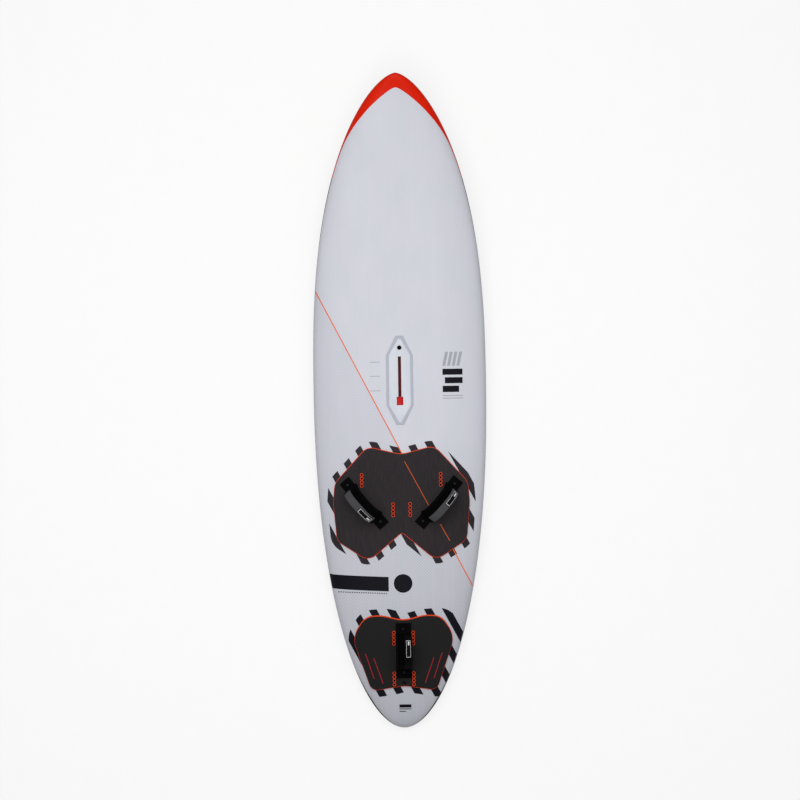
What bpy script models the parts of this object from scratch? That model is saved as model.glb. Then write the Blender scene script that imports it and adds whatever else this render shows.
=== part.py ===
"""A round-tail windsurf board with its deck fittings, as separate solids.

Frame: X across the board, Y along it with the nose at +Y, Z up. The origin is on the
floor under the middle of the length, and the flat of the bottom lies on Z = 0.
Places along the board are measured forward from the tail. Sizes are in metres.
"""
import math

import bmesh
import bpy
import numpy as np
from mathutils import Matrix, Vector
from mathutils.bvhtree import BVHTree

# Hull
BOARD_LENGTH = 2.300
BOARD_WIDTH = 0.606
BOARD_THICKNESS = 0.118
WIDE_POINT = 1.200
NOSE_ROCKER = 0.110
NOSE_KICK = 0.075
TAIL_ROCKER = 0.009
FLAT_FRONT = 1.200
FLAT_REAR = 0.700
RAIL_SHARE = 0.40
TUCK_WIDTH = 0.013
TUCK_TAIL_WIDTH = 0.003
TUCK_START = 0.150
TUCK_FULL = 1.400
TUCK_MOST_SHARE = 0.12
TUCK_ANGLES = (0.0, 30.0, 90.0)
DECK_CROWN_POWER = 2.5
NOSE_PLAN_POWER = 2.55
NOSE_PLAN_ROUND = 0.64
TAIL_PLAN_POWER = 2.2
TAIL_PLAN_ROUND = 0.53
NOSE_SIDE_POWER = 2.0
NOSE_SIDE_ROUND = 0.40
TAIL_SIDE_POWER = 2.5
TAIL_SIDE_ROUND = 0.42
NOSE_KICK_POWER = 14
END_TRIM = 0.008
SKIN = 0.0045
STATIONS = 32
DECK_FACETS = 12

# Gaps
GAP = 0.0003
TURN_GAP = 0.0004

# Mast track, let into the deck
TRACK_FROM_TAIL = 1.219
TRACK_LENGTH = 0.313
TRACK_WIDTH = 0.094
TRACK_STRAIGHT = 0.176
TRACK_END_WIDTH = 0.026
TRACK_RECESS = 0.0015
TRACK_FLANGE = 0.004
TRACK_LIP = 0.006
TRACK_WALL = 0.006
TRACK_FLOOR = 0.004
TRACK_CHANNEL_WIDTH = 0.0195
TRACK_CHANNEL_DEPTH = 0.020
TRACK_SLOT_WIDTH = 0.011
TRACK_SLOT_FRONT = 0.084
TRACK_SLOT_REAR = -0.058
RAIL_WALL = 0.0015
PLUG_LENGTH = 0.029
PLUG_WIDTH = 0.0225
PLUG_CAP = 0.004
PLUG_STEM = 0.012

# Vent in the front end of the mast track moulding
VENT_AHEAD = 0.115
VENT_OUTER_RADIUS = 0.011
VENT_HEAD_RADIUS = 0.0075
VENT_HEAD = 0.003
VENT_SHANK_RADIUS = 0.005
VENT_SHANK = 0.010
VENT_SEAL_THICK = 0.0015
VENT_SEAL_WIDTH = 0.0018
VENT_FLOOR = 0.003
VENT_COIN_SLOT = 0.0018
VENT_COIN_SLOT_LENGTH = 0.0165

# Fin boxes, let into the bottom
FIN_RECESS = 0.0006
CENTRE_BOX_FROM_TAIL = 0.168
CENTRE_BOX_LENGTH = 0.249
CENTRE_BOX_WIDTH = 0.049
CENTRE_BOX_STRAIGHT = 0.139
CENTRE_BOX_END_WIDTH = 0.014
CENTRE_BOX_FLANGE = 0.004
CENTRE_SLOT_LENGTH = 0.150
CENTRE_SLOT_WIDTH = 0.012
CENTRE_SLOT_DEPTH = 0.030
CENTRE_BOX_WALL = 0.006
CENTRE_BOX_FLOOR = 0.004
SIDE_BOX_FROM_TAIL = 0.351
SIDE_BOX_OUT = 0.153
SIDE_BOX_LENGTH = 0.160
SIDE_BOX_WIDTH = 0.038
SIDE_BOX_DEPTH = 0.030
SIDE_BOX_CORNER = 0.005
SIDE_SLOT_LENGTH = 0.131
SIDE_SLOT_WIDTH = 0.009
SIDE_SLOT_DEPTH = 0.024
SIDE_SLOT_IN = 0.0026
CLAMP_SCREW_OUT = 0.010
CLAMP_SCREW_SPACING = 0.060
CLAMP_SCREW_RADIUS = 0.005
CLAMP_SCREW_LENGTH = 0.012
CLAMP_SCREW_SUNK = 0.001
CLAMP_SOCKET_RADIUS = 0.0026
CLAMP_SOCKET_DEPTH = 0.004

# Deck pads: half outlines as (out from the centre line, ahead of the pad's middle, corner radius)
PAD_BASE = 0.002
PAD_TOP = 0.006
PAD_RIM = 0.003
FRONT_PAD_FROM_TAIL = 0.790
FRONT_PAD_CORNERS = [
    (0.000, 0.170, 0.090),
    (0.118, 0.199, 0.045),
    (0.234, 0.072, 0.060),
    (0.240, 0.000, 0.150),
    (0.228, -0.133, 0.045),
    (0.118, -0.206, 0.045),
    (0.0, -0.106, 0.012),
]
REAR_PAD_FROM_TAIL = 0.260
REAR_PAD_CORNERS = [
    (0.0, 0.117, 0.120),
    (0.075, 0.136, 0.150),
    (0.133, 0.133, 0.086),
    (0.181, 0.0615, 0.086),
    (0.114, -0.131, 0.030),
    (0.0, -0.114, 0.150),
]

# Screw plug strips under the pads
STRIP_HOLES = 4
STRIP_PITCH = 0.013
STRIP_WIDTH = 0.014
STRIP_DEPTH = 0.018
STRIP_SUNK = 0.0003
STRIP_END_ROUND = 0.9
STRIP_HOLE_RADIUS = 0.0031
STRIP_HOLE_DEPTH = 0.015
RING_OUTER_RADIUS = 0.0062
RING_INNER_RADIUS = 0.0040
FRONT_SPARE_OUTER = (0.138, 0.8695)
FRONT_SPARE_INNER = (0.030, 0.765)
REAR_SPARE_AHEAD = (0.034, 0.3145)
REAR_SPARE_AFT = (0.034, 0.172)

# Foot straps
FRONT_STRAP_OUT = 0.130
FRONT_STRAP_FROM_TAIL = 0.7895
FRONT_STRAP_TURN = 49.4
FRONT_STRAP_SPAN = 0.170
REAR_STRAP_FROM_TAIL = 0.271
REAR_STRAP_SPAN = 0.150
TAB_SIZE = 0.042
TAB_PLATE = 0.005
TAB_NECK = 0.003
TAB_NECK_INSET = 0.019
WEBBING_WIDTH = 0.036
WEBBING_THICK = 0.003
STRAP_AXIS_LIFT = 0.0255
STRAP_RISE = 0.060
STRAP_ARCH_POWER = 2.4
STRAP_NECK_ANGLE = 50.0
WEBBING_END_ANGLES = (25.0, 50.0, 75.0)
SLEEVE_WIDTH = 0.058
SLEEVE_THICK = 0.013
SLEEVE_EDGE = 0.005
SLEEVE_EDGE_SLOPE = 0.7
SLEEVE_CORE_SHARE = 0.8
SLEEVE_END = 86.0
FLAP_WIDTH = 0.028
FLAP_THICK = 0.002
FLAP_SIDE = 0.0145
ARCH_FACETS = 14
FLAP_SKIP_FACETS = 2
STRAP_SCREW_HEAD_RADIUS = 0.006
STRAP_SCREW_HEAD = 0.0035
STRAP_SCREW_CROWN_SHARE = 0.7
STRAP_SCREW_RADIUS = 0.0028
STRAP_SCREW_GRIP = 0.012
STRAP_SCREW_SOCKET_RADIUS = 0.0022
STRAP_SCREW_SOCKET_DEPTH = 0.002

# Finishes: colour, roughness, metallic
GREY_PAINT = ((0.60, 0.62, 0.68), 0.45, 0.0)
WHITE_PAINT = ((0.86, 0.87, 0.89), 0.35, 0.0)
FOAM = ((0.90, 0.88, 0.80), 0.90, 0.0)
WHITE_PLASTIC = ((0.80, 0.81, 0.84), 0.45, 0.0)
RED_PLASTIC = ((0.55, 0.01, 0.02), 0.40, 0.0)
BLACK_PLASTIC = ((0.012, 0.012, 0.014), 0.45, 0.0)
ORANGE_PLASTIC = ((0.82, 0.16, 0.02), 0.45, 0.0)
CHARCOAL_FOAM = ((0.021, 0.020, 0.021), 0.85, 0.0)
ORANGE_FOAM = ((0.75, 0.10, 0.03), 0.85, 0.0)
BLACK_RUBBER = ((0.015, 0.015, 0.015), 0.70, 0.0)
BLACK_WEBBING = ((0.012, 0.012, 0.013), 0.85, 0.0)
BLACK_SLEEVE = ((0.010, 0.010, 0.011), 0.80, 0.0)
GREY_FLAP = ((0.085, 0.085, 0.090), 0.75, 0.0)
STEEL = ((0.55, 0.55, 0.56), 0.30, 1.0)

# How the shapes are drawn: sides of round outlines, how far cutters reach, angles in degrees
ROUND_SIDES = 12
SMALL_SIDES = 8
NECK_SIDES = 32
REACH = 0.050
CREASE_STEP = 0.001
ARCH_STEP = 0.5
SHARP_ANGLE = 30.0
STRAIGHT_CORNER = 179.0
ARC_EDGE_SHARE = 0.48

for old in list(bpy.data.objects):
    bpy.data.objects.remove(old, do_unlink=True)


def finish(name, look):
    """One material per sub-part, from a finish at the top."""
    colour, roughness, metallic = look
    material = bpy.data.materials.new(name)
    material.use_nodes = True
    shader = material.node_tree.nodes["Principled BSDF"]
    shader.inputs["Base Color"].default_value = (*colour, 1.0)
    shader.inputs["Roughness"].default_value = roughness
    shader.inputs["Metallic"].default_value = metallic
    return material


def closed_mesh(name, solids):
    """A mesh of one or more (points, faces) solids with every face turned outward."""
    shape = bmesh.new()
    for points, faces in solids:
        corners = [shape.verts.new(point) for point in points]
        for face in faces:
            shape.faces.new([corners[index] for index in face])
    bmesh.ops.recalc_face_normals(shape, faces=shape.faces)
    mesh = bpy.data.meshes.new(name)
    shape.to_mesh(mesh)
    shape.free()
    return mesh


def place(name, mesh, look, matrix=None, parent=None):
    """A named sub-part with its finish, placed by its matrix and its parent."""
    piece = bpy.data.objects.new(name, mesh)
    bpy.context.collection.objects.link(piece)
    mesh.materials.clear()
    mesh.materials.append(finish(name, look))
    mesh.shade_smooth()
    mesh.set_sharp_from_angle(angle=math.radians(SHARP_ANGLE))
    piece.parent = parent
    if matrix is not None:
        piece.matrix_local = matrix
    return piece


def cutter(name, solids):
    """A hidden tool body for Booleans."""
    tool = bpy.data.objects.new(name, closed_mesh(name, solids))
    bpy.context.collection.objects.link(tool)
    tool.hide_render = True
    tool.display_type = "WIRE"
    return tool


def combine(piece, tool, operation="DIFFERENCE"):
    """A Boolean of a piece with a tool body."""
    modifier = piece.modifiers.new(tool.name, "BOOLEAN")
    modifier.operation = operation
    modifier.object = tool


def moved(solid, matrix):
    """The same solid with its points carried by a matrix."""
    points, faces = solid
    return [matrix @ Vector(point) for point in points], faces


def rounded(corners, steps=4):
    """A closed outline through corners (x, y, radius), each corner turned as an arc."""
    outline = []
    count = len(corners)
    for index, (x, y, radius) in enumerate(corners):
        here = Vector((x, y))
        back = Vector(corners[index - 1][:2]) - here
        ahead = Vector(corners[(index + 1) % count][:2]) - here
        half = back.angle(ahead) / 2
        if radius <= 0 or half > math.radians(STRAIGHT_CORNER / 2):
            outline.append((x, y))
            continue
        reach = min(radius / math.tan(half), ARC_EDGE_SHARE * back.length, ARC_EDGE_SHARE * ahead.length)
        centre = here + (back.normalized() + ahead.normalized()).normalized() * reach / math.cos(half)
        start = here + back.normalized() * reach - centre
        turn = start.angle_signed(here + ahead.normalized() * reach - centre)
        for step in range(steps + 1):
            spin = Matrix.Rotation(-turn * step / steps, 2)
            outline.append(tuple(centre + spin @ start))
    return outline


def prism(outline, low, high):
    """An outline in X and Y drawn up from low to high."""
    count = len(outline)
    points = [(x, y, low) for x, y in outline] + [(x, y, high) for x, y in outline]
    faces = [tuple(range(count)), tuple(range(count, 2 * count))]
    for index in range(count):
        after = (index + 1) % count
        faces.append((index, after, count + after, count + index))
    return points, faces


def block(width, length, low, high, x=0.0, y=0.0):
    """A box by its width in X, its length in Y and its two heights."""
    corners = [(-1, -1), (1, -1), (1, 1), (-1, 1)]
    return prism([(x + width / 2 * a, y + length / 2 * b) for a, b in corners], low, high)


def circle(radius, sides, x=0.0, y=0.0):
    """A round outline."""
    turns = [2 * math.pi * (index + 0.5) / sides for index in range(sides)]
    return [(x + radius * math.cos(turn), y + radius * math.sin(turn)) for turn in turns]


def hexagon(length, width, straight, end_width, grow=0.0):
    """A long six-sided outline with its two narrow ends cut off square."""
    side = width / 2 + grow
    tip = end_width / 2 + grow
    middle = straight / 2
    end = length / 2 + grow
    right = [(tip, -end), (side, -middle), (side, middle), (tip, end)]
    return right + [(-x, y) for x, y in reversed(right)]


def turned(profile, sides):
    """A solid of revolution about Z from (radius, height) points that start and end on the axis."""
    points = []
    rows = []
    for radius, height in profile:
        if radius == 0:
            rows.append([len(points)] * sides)
            points.append((0, 0, height))
        else:
            rows.append([len(points) + index for index in range(sides)])
            points += [(x, y, height) for x, y in circle(radius, sides)]
    faces = []
    for low, high in zip(rows, rows[1:]):
        for index in range(sides):
            after = (index + 1) % sides
            face = dict.fromkeys((low[index], low[after], high[after], high[index]))
            faces.append(tuple(face))
    return points, faces


def ring_solid(outer, inner, low, high, sides):
    """A flat ring."""
    points = []
    for radius in (outer, inner):
        for height in (low, high):
            points += [(x, y, height) for x, y in circle(radius, sides)]
    faces = []
    for index in range(sides):
        after = (index + 1) % sides
        for first, second in ((0, 1), (1, 3), (3, 2), (2, 0)):
            a, b = first * sides, second * sides
            faces.append((a + index, a + after, b + after, b + index))
    return points, faces


# Hull surface


def along(from_tail):
    """Y of a place measured forward from the tail."""
    return from_tail - BOARD_LENGTH / 2


def half_width(from_tail):
    """Half the board's width: a blunt oval ahead of the wide point and another behind it."""
    if from_tail > WIDE_POINT:
        share = (from_tail - WIDE_POINT) / (BOARD_LENGTH - WIDE_POINT)
        return BOARD_WIDTH / 2 * (1 - share ** NOSE_PLAN_POWER) ** NOSE_PLAN_ROUND
    share = (WIDE_POINT - from_tail) / WIDE_POINT
    return BOARD_WIDTH / 2 * (1 - share ** TAIL_PLAN_POWER) ** TAIL_PLAN_ROUND


def thickness(from_tail):
    """The board's thickness on its centre line."""
    if from_tail > WIDE_POINT:
        share = (from_tail - WIDE_POINT) / (BOARD_LENGTH - WIDE_POINT)
        return BOARD_THICKNESS * (1 - share ** NOSE_SIDE_POWER) ** NOSE_SIDE_ROUND
    share = (WIDE_POINT - from_tail) / WIDE_POINT
    return BOARD_THICKNESS * (1 - share ** TAIL_SIDE_POWER) ** TAIL_SIDE_ROUND


def bottom_height(from_tail):
    """Rocker: the bottom's height on the centre line, zero along the flat."""
    if from_tail > FLAT_FRONT:
        share = (from_tail - FLAT_FRONT) / (BOARD_LENGTH - FLAT_FRONT)
        return NOSE_ROCKER * share ** 2 + NOSE_KICK * share ** NOSE_KICK_POWER
    share = max(0.0, (FLAT_REAR - from_tail) / FLAT_REAR)
    return TAIL_ROCKER * share ** 2


def deck_row(from_tail):
    """Points across the deck from the right rail's seam to the left one."""
    half = half_width(from_tail)
    thick = thickness(from_tail)
    rail = bottom_height(from_tail) + RAIL_SHARE * thick
    row = []
    for step in range(DECK_FACETS + 1):
        turn = math.pi * step / DECK_FACETS
        across = math.copysign(abs(math.cos(turn)) ** (2 / DECK_CROWN_POWER), math.cos(turn))
        up = max(0.0, math.sin(turn)) ** (2 / DECK_CROWN_POWER)
        row.append((half * across, along(from_tail), rail + (1 - RAIL_SHARE) * thick * up))
    return row


def tuck_width(from_tail):
    """How far the rail curves in under the board: widest ahead, nearly a hard edge at the tail."""
    share = (from_tail - TUCK_START) / (TUCK_FULL - TUCK_START)
    width = max(TUCK_WIDTH * min(share, 1.0), TUCK_TAIL_WIDTH)
    return min(width, TUCK_MOST_SHARE * half_width(from_tail))


def bottom_row(from_tail, seam_drop):
    """Points across the bottom from the left rail's seam to the right one."""
    low = bottom_height(from_tail)
    rise = RAIL_SHARE * thickness(from_tail)
    tuck = tuck_width(from_tail)
    flat = half_width(from_tail) - tuck
    left = []
    for degrees in TUCK_ANGLES:
        turn = math.radians(degrees)
        left.append((-flat - tuck * math.cos(turn), along(from_tail), low + rise * (1 - math.sin(turn))))
    left[0] = (left[0][0], left[0][1], left[0][2] - seam_drop)
    return left + [(-x, y, z) for x, y, z in reversed(left)]


def station_places():
    """Stations from tail to nose, close together at both ends."""
    reach = BOARD_LENGTH / 2 - END_TRIM
    turns = [math.pi * step / (STATIONS - 1) for step in range(STATIONS)]
    return [BOARD_LENGTH / 2 - reach * math.cos(turn) for turn in turns]


def rolled(rows, tips, wrap):
    """Grid faces through rows of points, with a fan to a tip point at each end."""
    width = len(rows[0])
    points = [point for row in rows for point in row] + list(tips)
    spans = width if wrap else width - 1
    faces = []
    for start in range(0, width * (len(rows) - 1), width):
        for index in range(spans):
            after = (index + 1) % width
            faces.append((start + index, start + after, start + width + after, start + width + index))
    last = width * (len(rows) - 1)
    for index in range(spans):
        after = (index + 1) % width
        faces.append((index, after, len(points) - 2))
        faces.append((last + index, last + after, len(points) - 1))
    return points, faces


def tip_points(drop):
    """The tail and nose tips on the seam line, lowered by drop."""
    tail = Vector((0, along(0), bottom_height(0) - drop))
    nose = Vector((0, along(BOARD_LENGTH), bottom_height(BOARD_LENGTH) - drop))
    return [tail, nose]


class Hull:
    """The faceted hull and its outward normals, from which every layer is offset."""

    def __init__(self):
        self.places = station_places()
        deck = [deck_row(place) for place in self.places]
        rows = [row + bottom_row(place, 0)[1:-1] for row, place in zip(deck, self.places)]
        self.width = len(rows[0])
        points, faces = rolled(rows, tip_points(0), True)
        shape = bmesh.new()
        corners = [shape.verts.new(point) for point in points]
        for face in faces:
            shape.faces.new([corners[index] for index in face])
        bmesh.ops.recalc_face_normals(shape, faces=shape.faces)
        shape.normal_update()
        normals = np.array([corner.normal for corner in corners])
        shape.free()
        self.points = np.array([tuple(point) for point in points])
        self.normals = normals
        self.faces = faces
        self.tree = BVHTree.FromPolygons([Vector(p) for p in points], faces)

    def split(self, values):
        """Values as a grid of rows and the two tips."""
        grid = values[:-2].reshape(len(self.places), self.width, 3)
        return grid, values[-2:]

    def offset(self, distance):
        """The whole closed hull moved out along its normals."""
        return [tuple(p) for p in self.points + distance * self.normals], self.faces

    def deck_layer(self, low, high):
        """A closed layer over the deck between two heights above its surface."""
        grid, tips = self.split(self.points)
        ways, tip_ways = self.split(self.normals)
        across = slice(0, DECK_FACETS + 1)
        return layer(grid[:, across], ways[:, across], tips, tip_ways, low, high)

    def bottom_layer(self, low, high):
        """The same over the bottom, its upper edge a gap below the deck's."""
        rows = np.array([bottom_row(place, GAP) for place in self.places])
        ways, tip_ways = self.split(self.normals)
        order = list(range(DECK_FACETS, self.width)) + [0]
        tips = np.array([tuple(tip) for tip in tip_points(GAP)])
        return layer(rows, ways[:, order], tips, tip_ways, low, high)


def layer(grid, ways, tips, tip_ways, low, high):
    """A closed solid between two offsets of an open grid with a tip at each end."""
    rows, width = grid.shape[:2]
    points = []
    faces = []
    for distance in (low, high):
        start = len(points)
        skin, skin_faces = rolled([list(row) for row in grid + distance * ways],
                                  list(tips + distance * tip_ways), False)
        points += [tuple(point) for point in skin]
        faces += [tuple(start + index for index in face) for face in skin_faces]
    count = len(points) // 2
    for column in (0, width - 1):
        edge = [count - 2] + [row * width + column for row in range(rows)] + [count - 1]
        for here, after in zip(edge, edge[1:]):
            faces.append((here, after, count + after))
            faces.append((here, count + after, count + here))
    return points, faces


hull = Hull()


def deck_frame(x, from_tail, lift, turn=0.0):
    """A frame on the deck facet at a place: Z is the facet's normal, or the mean of two on a crease."""
    hits = [hull.tree.ray_cast(Vector((x + step, along(from_tail), 1.0)), Vector((0, 0, -1)))
            for step in (0, -CREASE_STEP, CREASE_STEP)]
    up = sum((hit[1] * math.copysign(1, hit[1].z) for hit in hits[1:]), Vector()).normalized()
    way = Vector((math.cos(turn), math.sin(turn), 0))
    side = up.cross(way).normalized()
    frame = Matrix((side.cross(up), side, up)).transposed().to_4x4()
    frame.translation = hits[0][0] + lift * up
    return frame


def centre_frame(from_tail, length, height, sink, face):
    """A frame on the centre line, tilted to the chord of the surface over a length."""
    ahead = height(from_tail + length / 2)
    aft = height(from_tail - length / 2)
    frame = Matrix.Rotation(math.atan2(ahead - aft, length), 4, "X")
    if face < 0:
        frame = frame @ Matrix.Rotation(math.pi, 4, "Y")
    middle = Vector((0, along(from_tail), (ahead + aft) / 2 - face * sink))
    frame.translation = middle
    return frame


def deck_height(from_tail):
    """The deck's height on the centre line."""
    return bottom_height(from_tail) + thickness(from_tail)


# Where the fittings sit

PAD_LIFT = GAP + PAD_BASE + GAP + PAD_TOP
STRIP_LENGTH = (STRIP_HOLES - 1) * STRIP_PITCH + STRIP_WIDTH
TRACK_FRAME = centre_frame(TRACK_FROM_TAIL, TRACK_LENGTH, deck_height, TRACK_RECESS, 1)
CENTRE_FRAME = centre_frame(CENTRE_BOX_FROM_TAIL, CENTRE_BOX_LENGTH, bottom_height, FIN_RECESS, -1)
SIDE_FRAMES = {}
for side_name, side in (("left", -1), ("right", 1)):
    side_frame = centre_frame(SIDE_BOX_FROM_TAIL, SIDE_BOX_LENGTH, bottom_height, FIN_RECESS, -1)
    side_frame.translation.x = side * SIDE_BOX_OUT
    SIDE_FRAMES[side_name] = side_frame


class Strap:
    """Where one foot strap, its tabs and its plug strips sit."""

    def __init__(self, name, x, from_tail, turn, span, ends, hole_steps):
        self.name = name
        self.ends = ends
        self.reach = span / 2 - TAB_NECK_INSET
        way = Vector((math.cos(turn), math.sin(turn), 0))
        self.tabs = []
        self.strips = []
        for end, steps in zip((-1, 1), hole_steps):
            spot = Vector((x, from_tail, 0)) + way * end * span / 2
            self.tabs.append(deck_frame(spot.x, spot.y, PAD_LIFT + GAP, turn + (math.pi if end > 0 else 0)))
            self.strips.append((spot.x, spot.y + steps * STRIP_PITCH))
        first, second = (tab.translation for tab in self.tabs)
        line = (second - first).normalized()
        up = (self.tabs[0].to_3x3().col[2] + self.tabs[1].to_3x3().col[2]).normalized()
        side = up.cross(line).normalized()
        self.frame = Matrix((line, side, line.cross(side))).transposed().to_4x4()
        self.frame.translation = (first + second) / 2 + STRAP_AXIS_LIFT * line.cross(side)


front_turn = math.radians(FRONT_STRAP_TURN)
STRAPS = [
    Strap("front_left", -FRONT_STRAP_OUT, FRONT_STRAP_FROM_TAIL, math.pi - front_turn, FRONT_STRAP_SPAN,
          ("inner", "outer"), (-0.5, -0.5)),
    Strap("front_right", FRONT_STRAP_OUT, FRONT_STRAP_FROM_TAIL, math.pi + front_turn, FRONT_STRAP_SPAN,
          ("outer", "inner"), (-0.5, -0.5)),
    Strap("rear", 0.0, REAR_STRAP_FROM_TAIL, -math.pi / 2, REAR_STRAP_SPAN,
          ("fore", "aft"), (0.5, -1.5)),
]
SPARE_STRIPS = {}
for side_name, side in (("left", -1), ("right", 1)):
    for place_name, (out, from_tail) in (
        ("front_outer", FRONT_SPARE_OUTER),
        ("front_inner", FRONT_SPARE_INNER),
        ("rear_ahead", REAR_SPARE_AHEAD),
        ("rear_aft", REAR_SPARE_AFT),
    ):
        SPARE_STRIPS[f"{place_name}_{side_name}"] = (side * out, from_tail)
STRAP_STRIPS = {}
for strap in STRAPS:
    for end_name, strip in zip(strap.ends, strap.strips):
        STRAP_STRIPS[f"{strap.name}_{end_name}"] = strip


def strip_outline(grow):
    """A bar with round ends, long in Y."""
    half = STRIP_WIDTH / 2 + grow
    end = STRIP_LENGTH / 2 + grow
    corners = [(-half, -end, half), (half, -end, half), (half, end, half), (-half, end, half)]
    return rounded([(x, y, STRIP_END_ROUND * r) for x, y, r in corners], 2)


def strip_frame(place):
    """A strip's frame, its top just under the deck's surface, long in Y."""
    return deck_frame(place[0], place[1], -STRIP_SUNK)


def strip_hole_places():
    """The holes along a strip."""
    first = -(STRIP_HOLES - 1) * STRIP_PITCH / 2
    return [first + index * STRIP_PITCH for index in range(STRIP_HOLES)]


# Hull pieces with their pockets

TUB_WIDTH = TRACK_CHANNEL_WIDTH + 2 * TRACK_WALL
CHANNEL_FRONT = TRACK_SLOT_FRONT + TRACK_WALL
CHANNEL_REAR = TRACK_SLOT_REAR - PLUG_LENGTH
TUB_LENGTH = CHANNEL_FRONT - CHANNEL_REAR + 2 * TRACK_WALL
TUB_MIDDLE = (CHANNEL_FRONT + CHANNEL_REAR) / 2
TUB_DEPTH = TRACK_LIP + TRACK_CHANNEL_DEPTH + TRACK_FLOOR
VENT_DEPTH = VENT_HEAD + VENT_SEAL_THICK + 3 * GAP + VENT_SHANK + VENT_FLOOR
CENTRE_TUB_WIDTH = CENTRE_SLOT_WIDTH + 2 * CENTRE_BOX_WALL
CENTRE_TUB_LENGTH = CENTRE_SLOT_LENGTH + 2 * CENTRE_BOX_WALL
CENTRE_TUB_DEPTH = CENTRE_SLOT_DEPTH + CENTRE_BOX_FLOOR


def side_outline(grow):
    """A side fin box's outline with round corners."""
    half = SIDE_BOX_WIDTH / 2 + grow
    end = SIDE_BOX_LENGTH / 2 + grow
    corners = [(-half, -end), (half, -end), (half, end), (-half, end)]
    return rounded([(x, y, SIDE_BOX_CORNER) for x, y in corners], 3)


def track_outline(grow):
    """The mast track moulding's outline."""
    return hexagon(TRACK_LENGTH, TRACK_WIDTH, TRACK_STRAIGHT, TRACK_END_WIDTH, grow)


def centre_outline(grow):
    """The centre fin box's outline."""
    return hexagon(CENTRE_BOX_LENGTH, CENTRE_BOX_WIDTH, CENTRE_BOX_STRAIGHT, CENTRE_BOX_END_WIDTH, grow)


track_recess = prism(track_outline(GAP), -TRACK_FLANGE - GAP, REACH)
track_pocket = block(TUB_WIDTH + 2 * GAP, TUB_LENGTH + 2 * GAP, -TUB_DEPTH - GAP, 0, 0, TUB_MIDDLE)
vent_pocket = prism(circle(VENT_OUTER_RADIUS + GAP, ROUND_SIDES, 0, VENT_AHEAD), -VENT_DEPTH - GAP, 0)
centre_recess = prism(centre_outline(GAP), -CENTRE_BOX_FLANGE - GAP, REACH)
centre_pocket = block(CENTRE_TUB_WIDTH + 2 * GAP, CENTRE_TUB_LENGTH + 2 * GAP, -CENTRE_TUB_DEPTH - GAP, 0)
side_pocket = prism(side_outline(GAP), -SIDE_BOX_DEPTH - GAP, REACH)
strip_pocket = prism(strip_outline(GAP), -STRIP_DEPTH - GAP, REACH)

strip_pockets = []
for strip_place in list(SPARE_STRIPS.values()) + list(STRAP_STRIPS.values()):
    strip_pockets.append(moved(strip_pocket, strip_frame(strip_place)))
deck_openings = cutter("deck_openings", [moved(track_recess, TRACK_FRAME)] + strip_pockets)
deck_wells = cutter("deck_wells", [moved(track_pocket, TRACK_FRAME), moved(vent_pocket, TRACK_FRAME)])
side_pockets = [moved(side_pocket, frame) for frame in SIDE_FRAMES.values()]
bottom_openings = cutter("bottom_openings", [moved(centre_recess, CENTRE_FRAME)] + side_pockets)
bottom_wells = cutter("bottom_wells", [moved(centre_pocket, CENTRE_FRAME)])

foam_core = place("foam_core", closed_mesh("foam_core", [hull.offset(-SKIN - 2 * GAP)]), FOAM)
deck_skin = place("deck_skin", closed_mesh("deck_skin", [hull.deck_layer(-SKIN, 0)]), GREY_PAINT)
bottom_skin = place("bottom_skin", closed_mesh("bottom_skin", [hull.bottom_layer(-SKIN, 0)]), WHITE_PAINT)
for tool in (deck_openings, deck_wells, bottom_openings, bottom_wells):
    combine(foam_core, tool)
combine(deck_skin, deck_openings)
combine(bottom_skin, bottom_openings)

# Mast track: moulding, red rail, end plug

track_plate = prism(track_outline(0), -TRACK_FLANGE, 0)
track_box = place("mast_track_box", closed_mesh("mast_track_box", [track_plate]), WHITE_PLASTIC, TRACK_FRAME)
track_tub = block(TUB_WIDTH, TUB_LENGTH, -TUB_DEPTH, -TRACK_FLANGE / 2, 0, TUB_MIDDLE)
combine(track_box, cutter("track_tub", [moved(track_tub, TRACK_FRAME)]), "UNION")
slot_length = TRACK_SLOT_FRONT - TRACK_SLOT_REAR
slot_middle = (TRACK_SLOT_FRONT + TRACK_SLOT_REAR) / 2
channel_length = CHANNEL_FRONT - CHANNEL_REAR
channel_floor = -TRACK_LIP - TRACK_CHANNEL_DEPTH
channel = block(TRACK_CHANNEL_WIDTH, channel_length, channel_floor, -TRACK_LIP, 0, TUB_MIDDLE)
slot = block(TRACK_SLOT_WIDTH, slot_length, channel_floor / 2, REACH, 0, slot_middle)
plug_middle = TRACK_SLOT_REAR - PLUG_LENGTH / 2
plug_seat = block(PLUG_WIDTH + 2 * GAP, PLUG_LENGTH + GAP, -PLUG_CAP - GAP, REACH, 0, plug_middle)
plug_well_length = PLUG_LENGTH - 2 * TRACK_WALL
plug_well = block(TRACK_CHANNEL_WIDTH, plug_well_length, -TRACK_LIP - PLUG_STEM, 0, 0, plug_middle)
vent_hole = prism(circle(VENT_OUTER_RADIUS + GAP, ROUND_SIDES, 0, VENT_AHEAD), -REACH, REACH)
for tool_name, solid in (
    ("track_channel", channel),
    ("track_slot", slot),
    ("track_plug_seat", plug_seat),
    ("track_plug_well", plug_well),
    ("track_vent_hole", vent_hole),
):
    combine(track_box, cutter(tool_name, [moved(solid, TRACK_FRAME)]))

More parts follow.
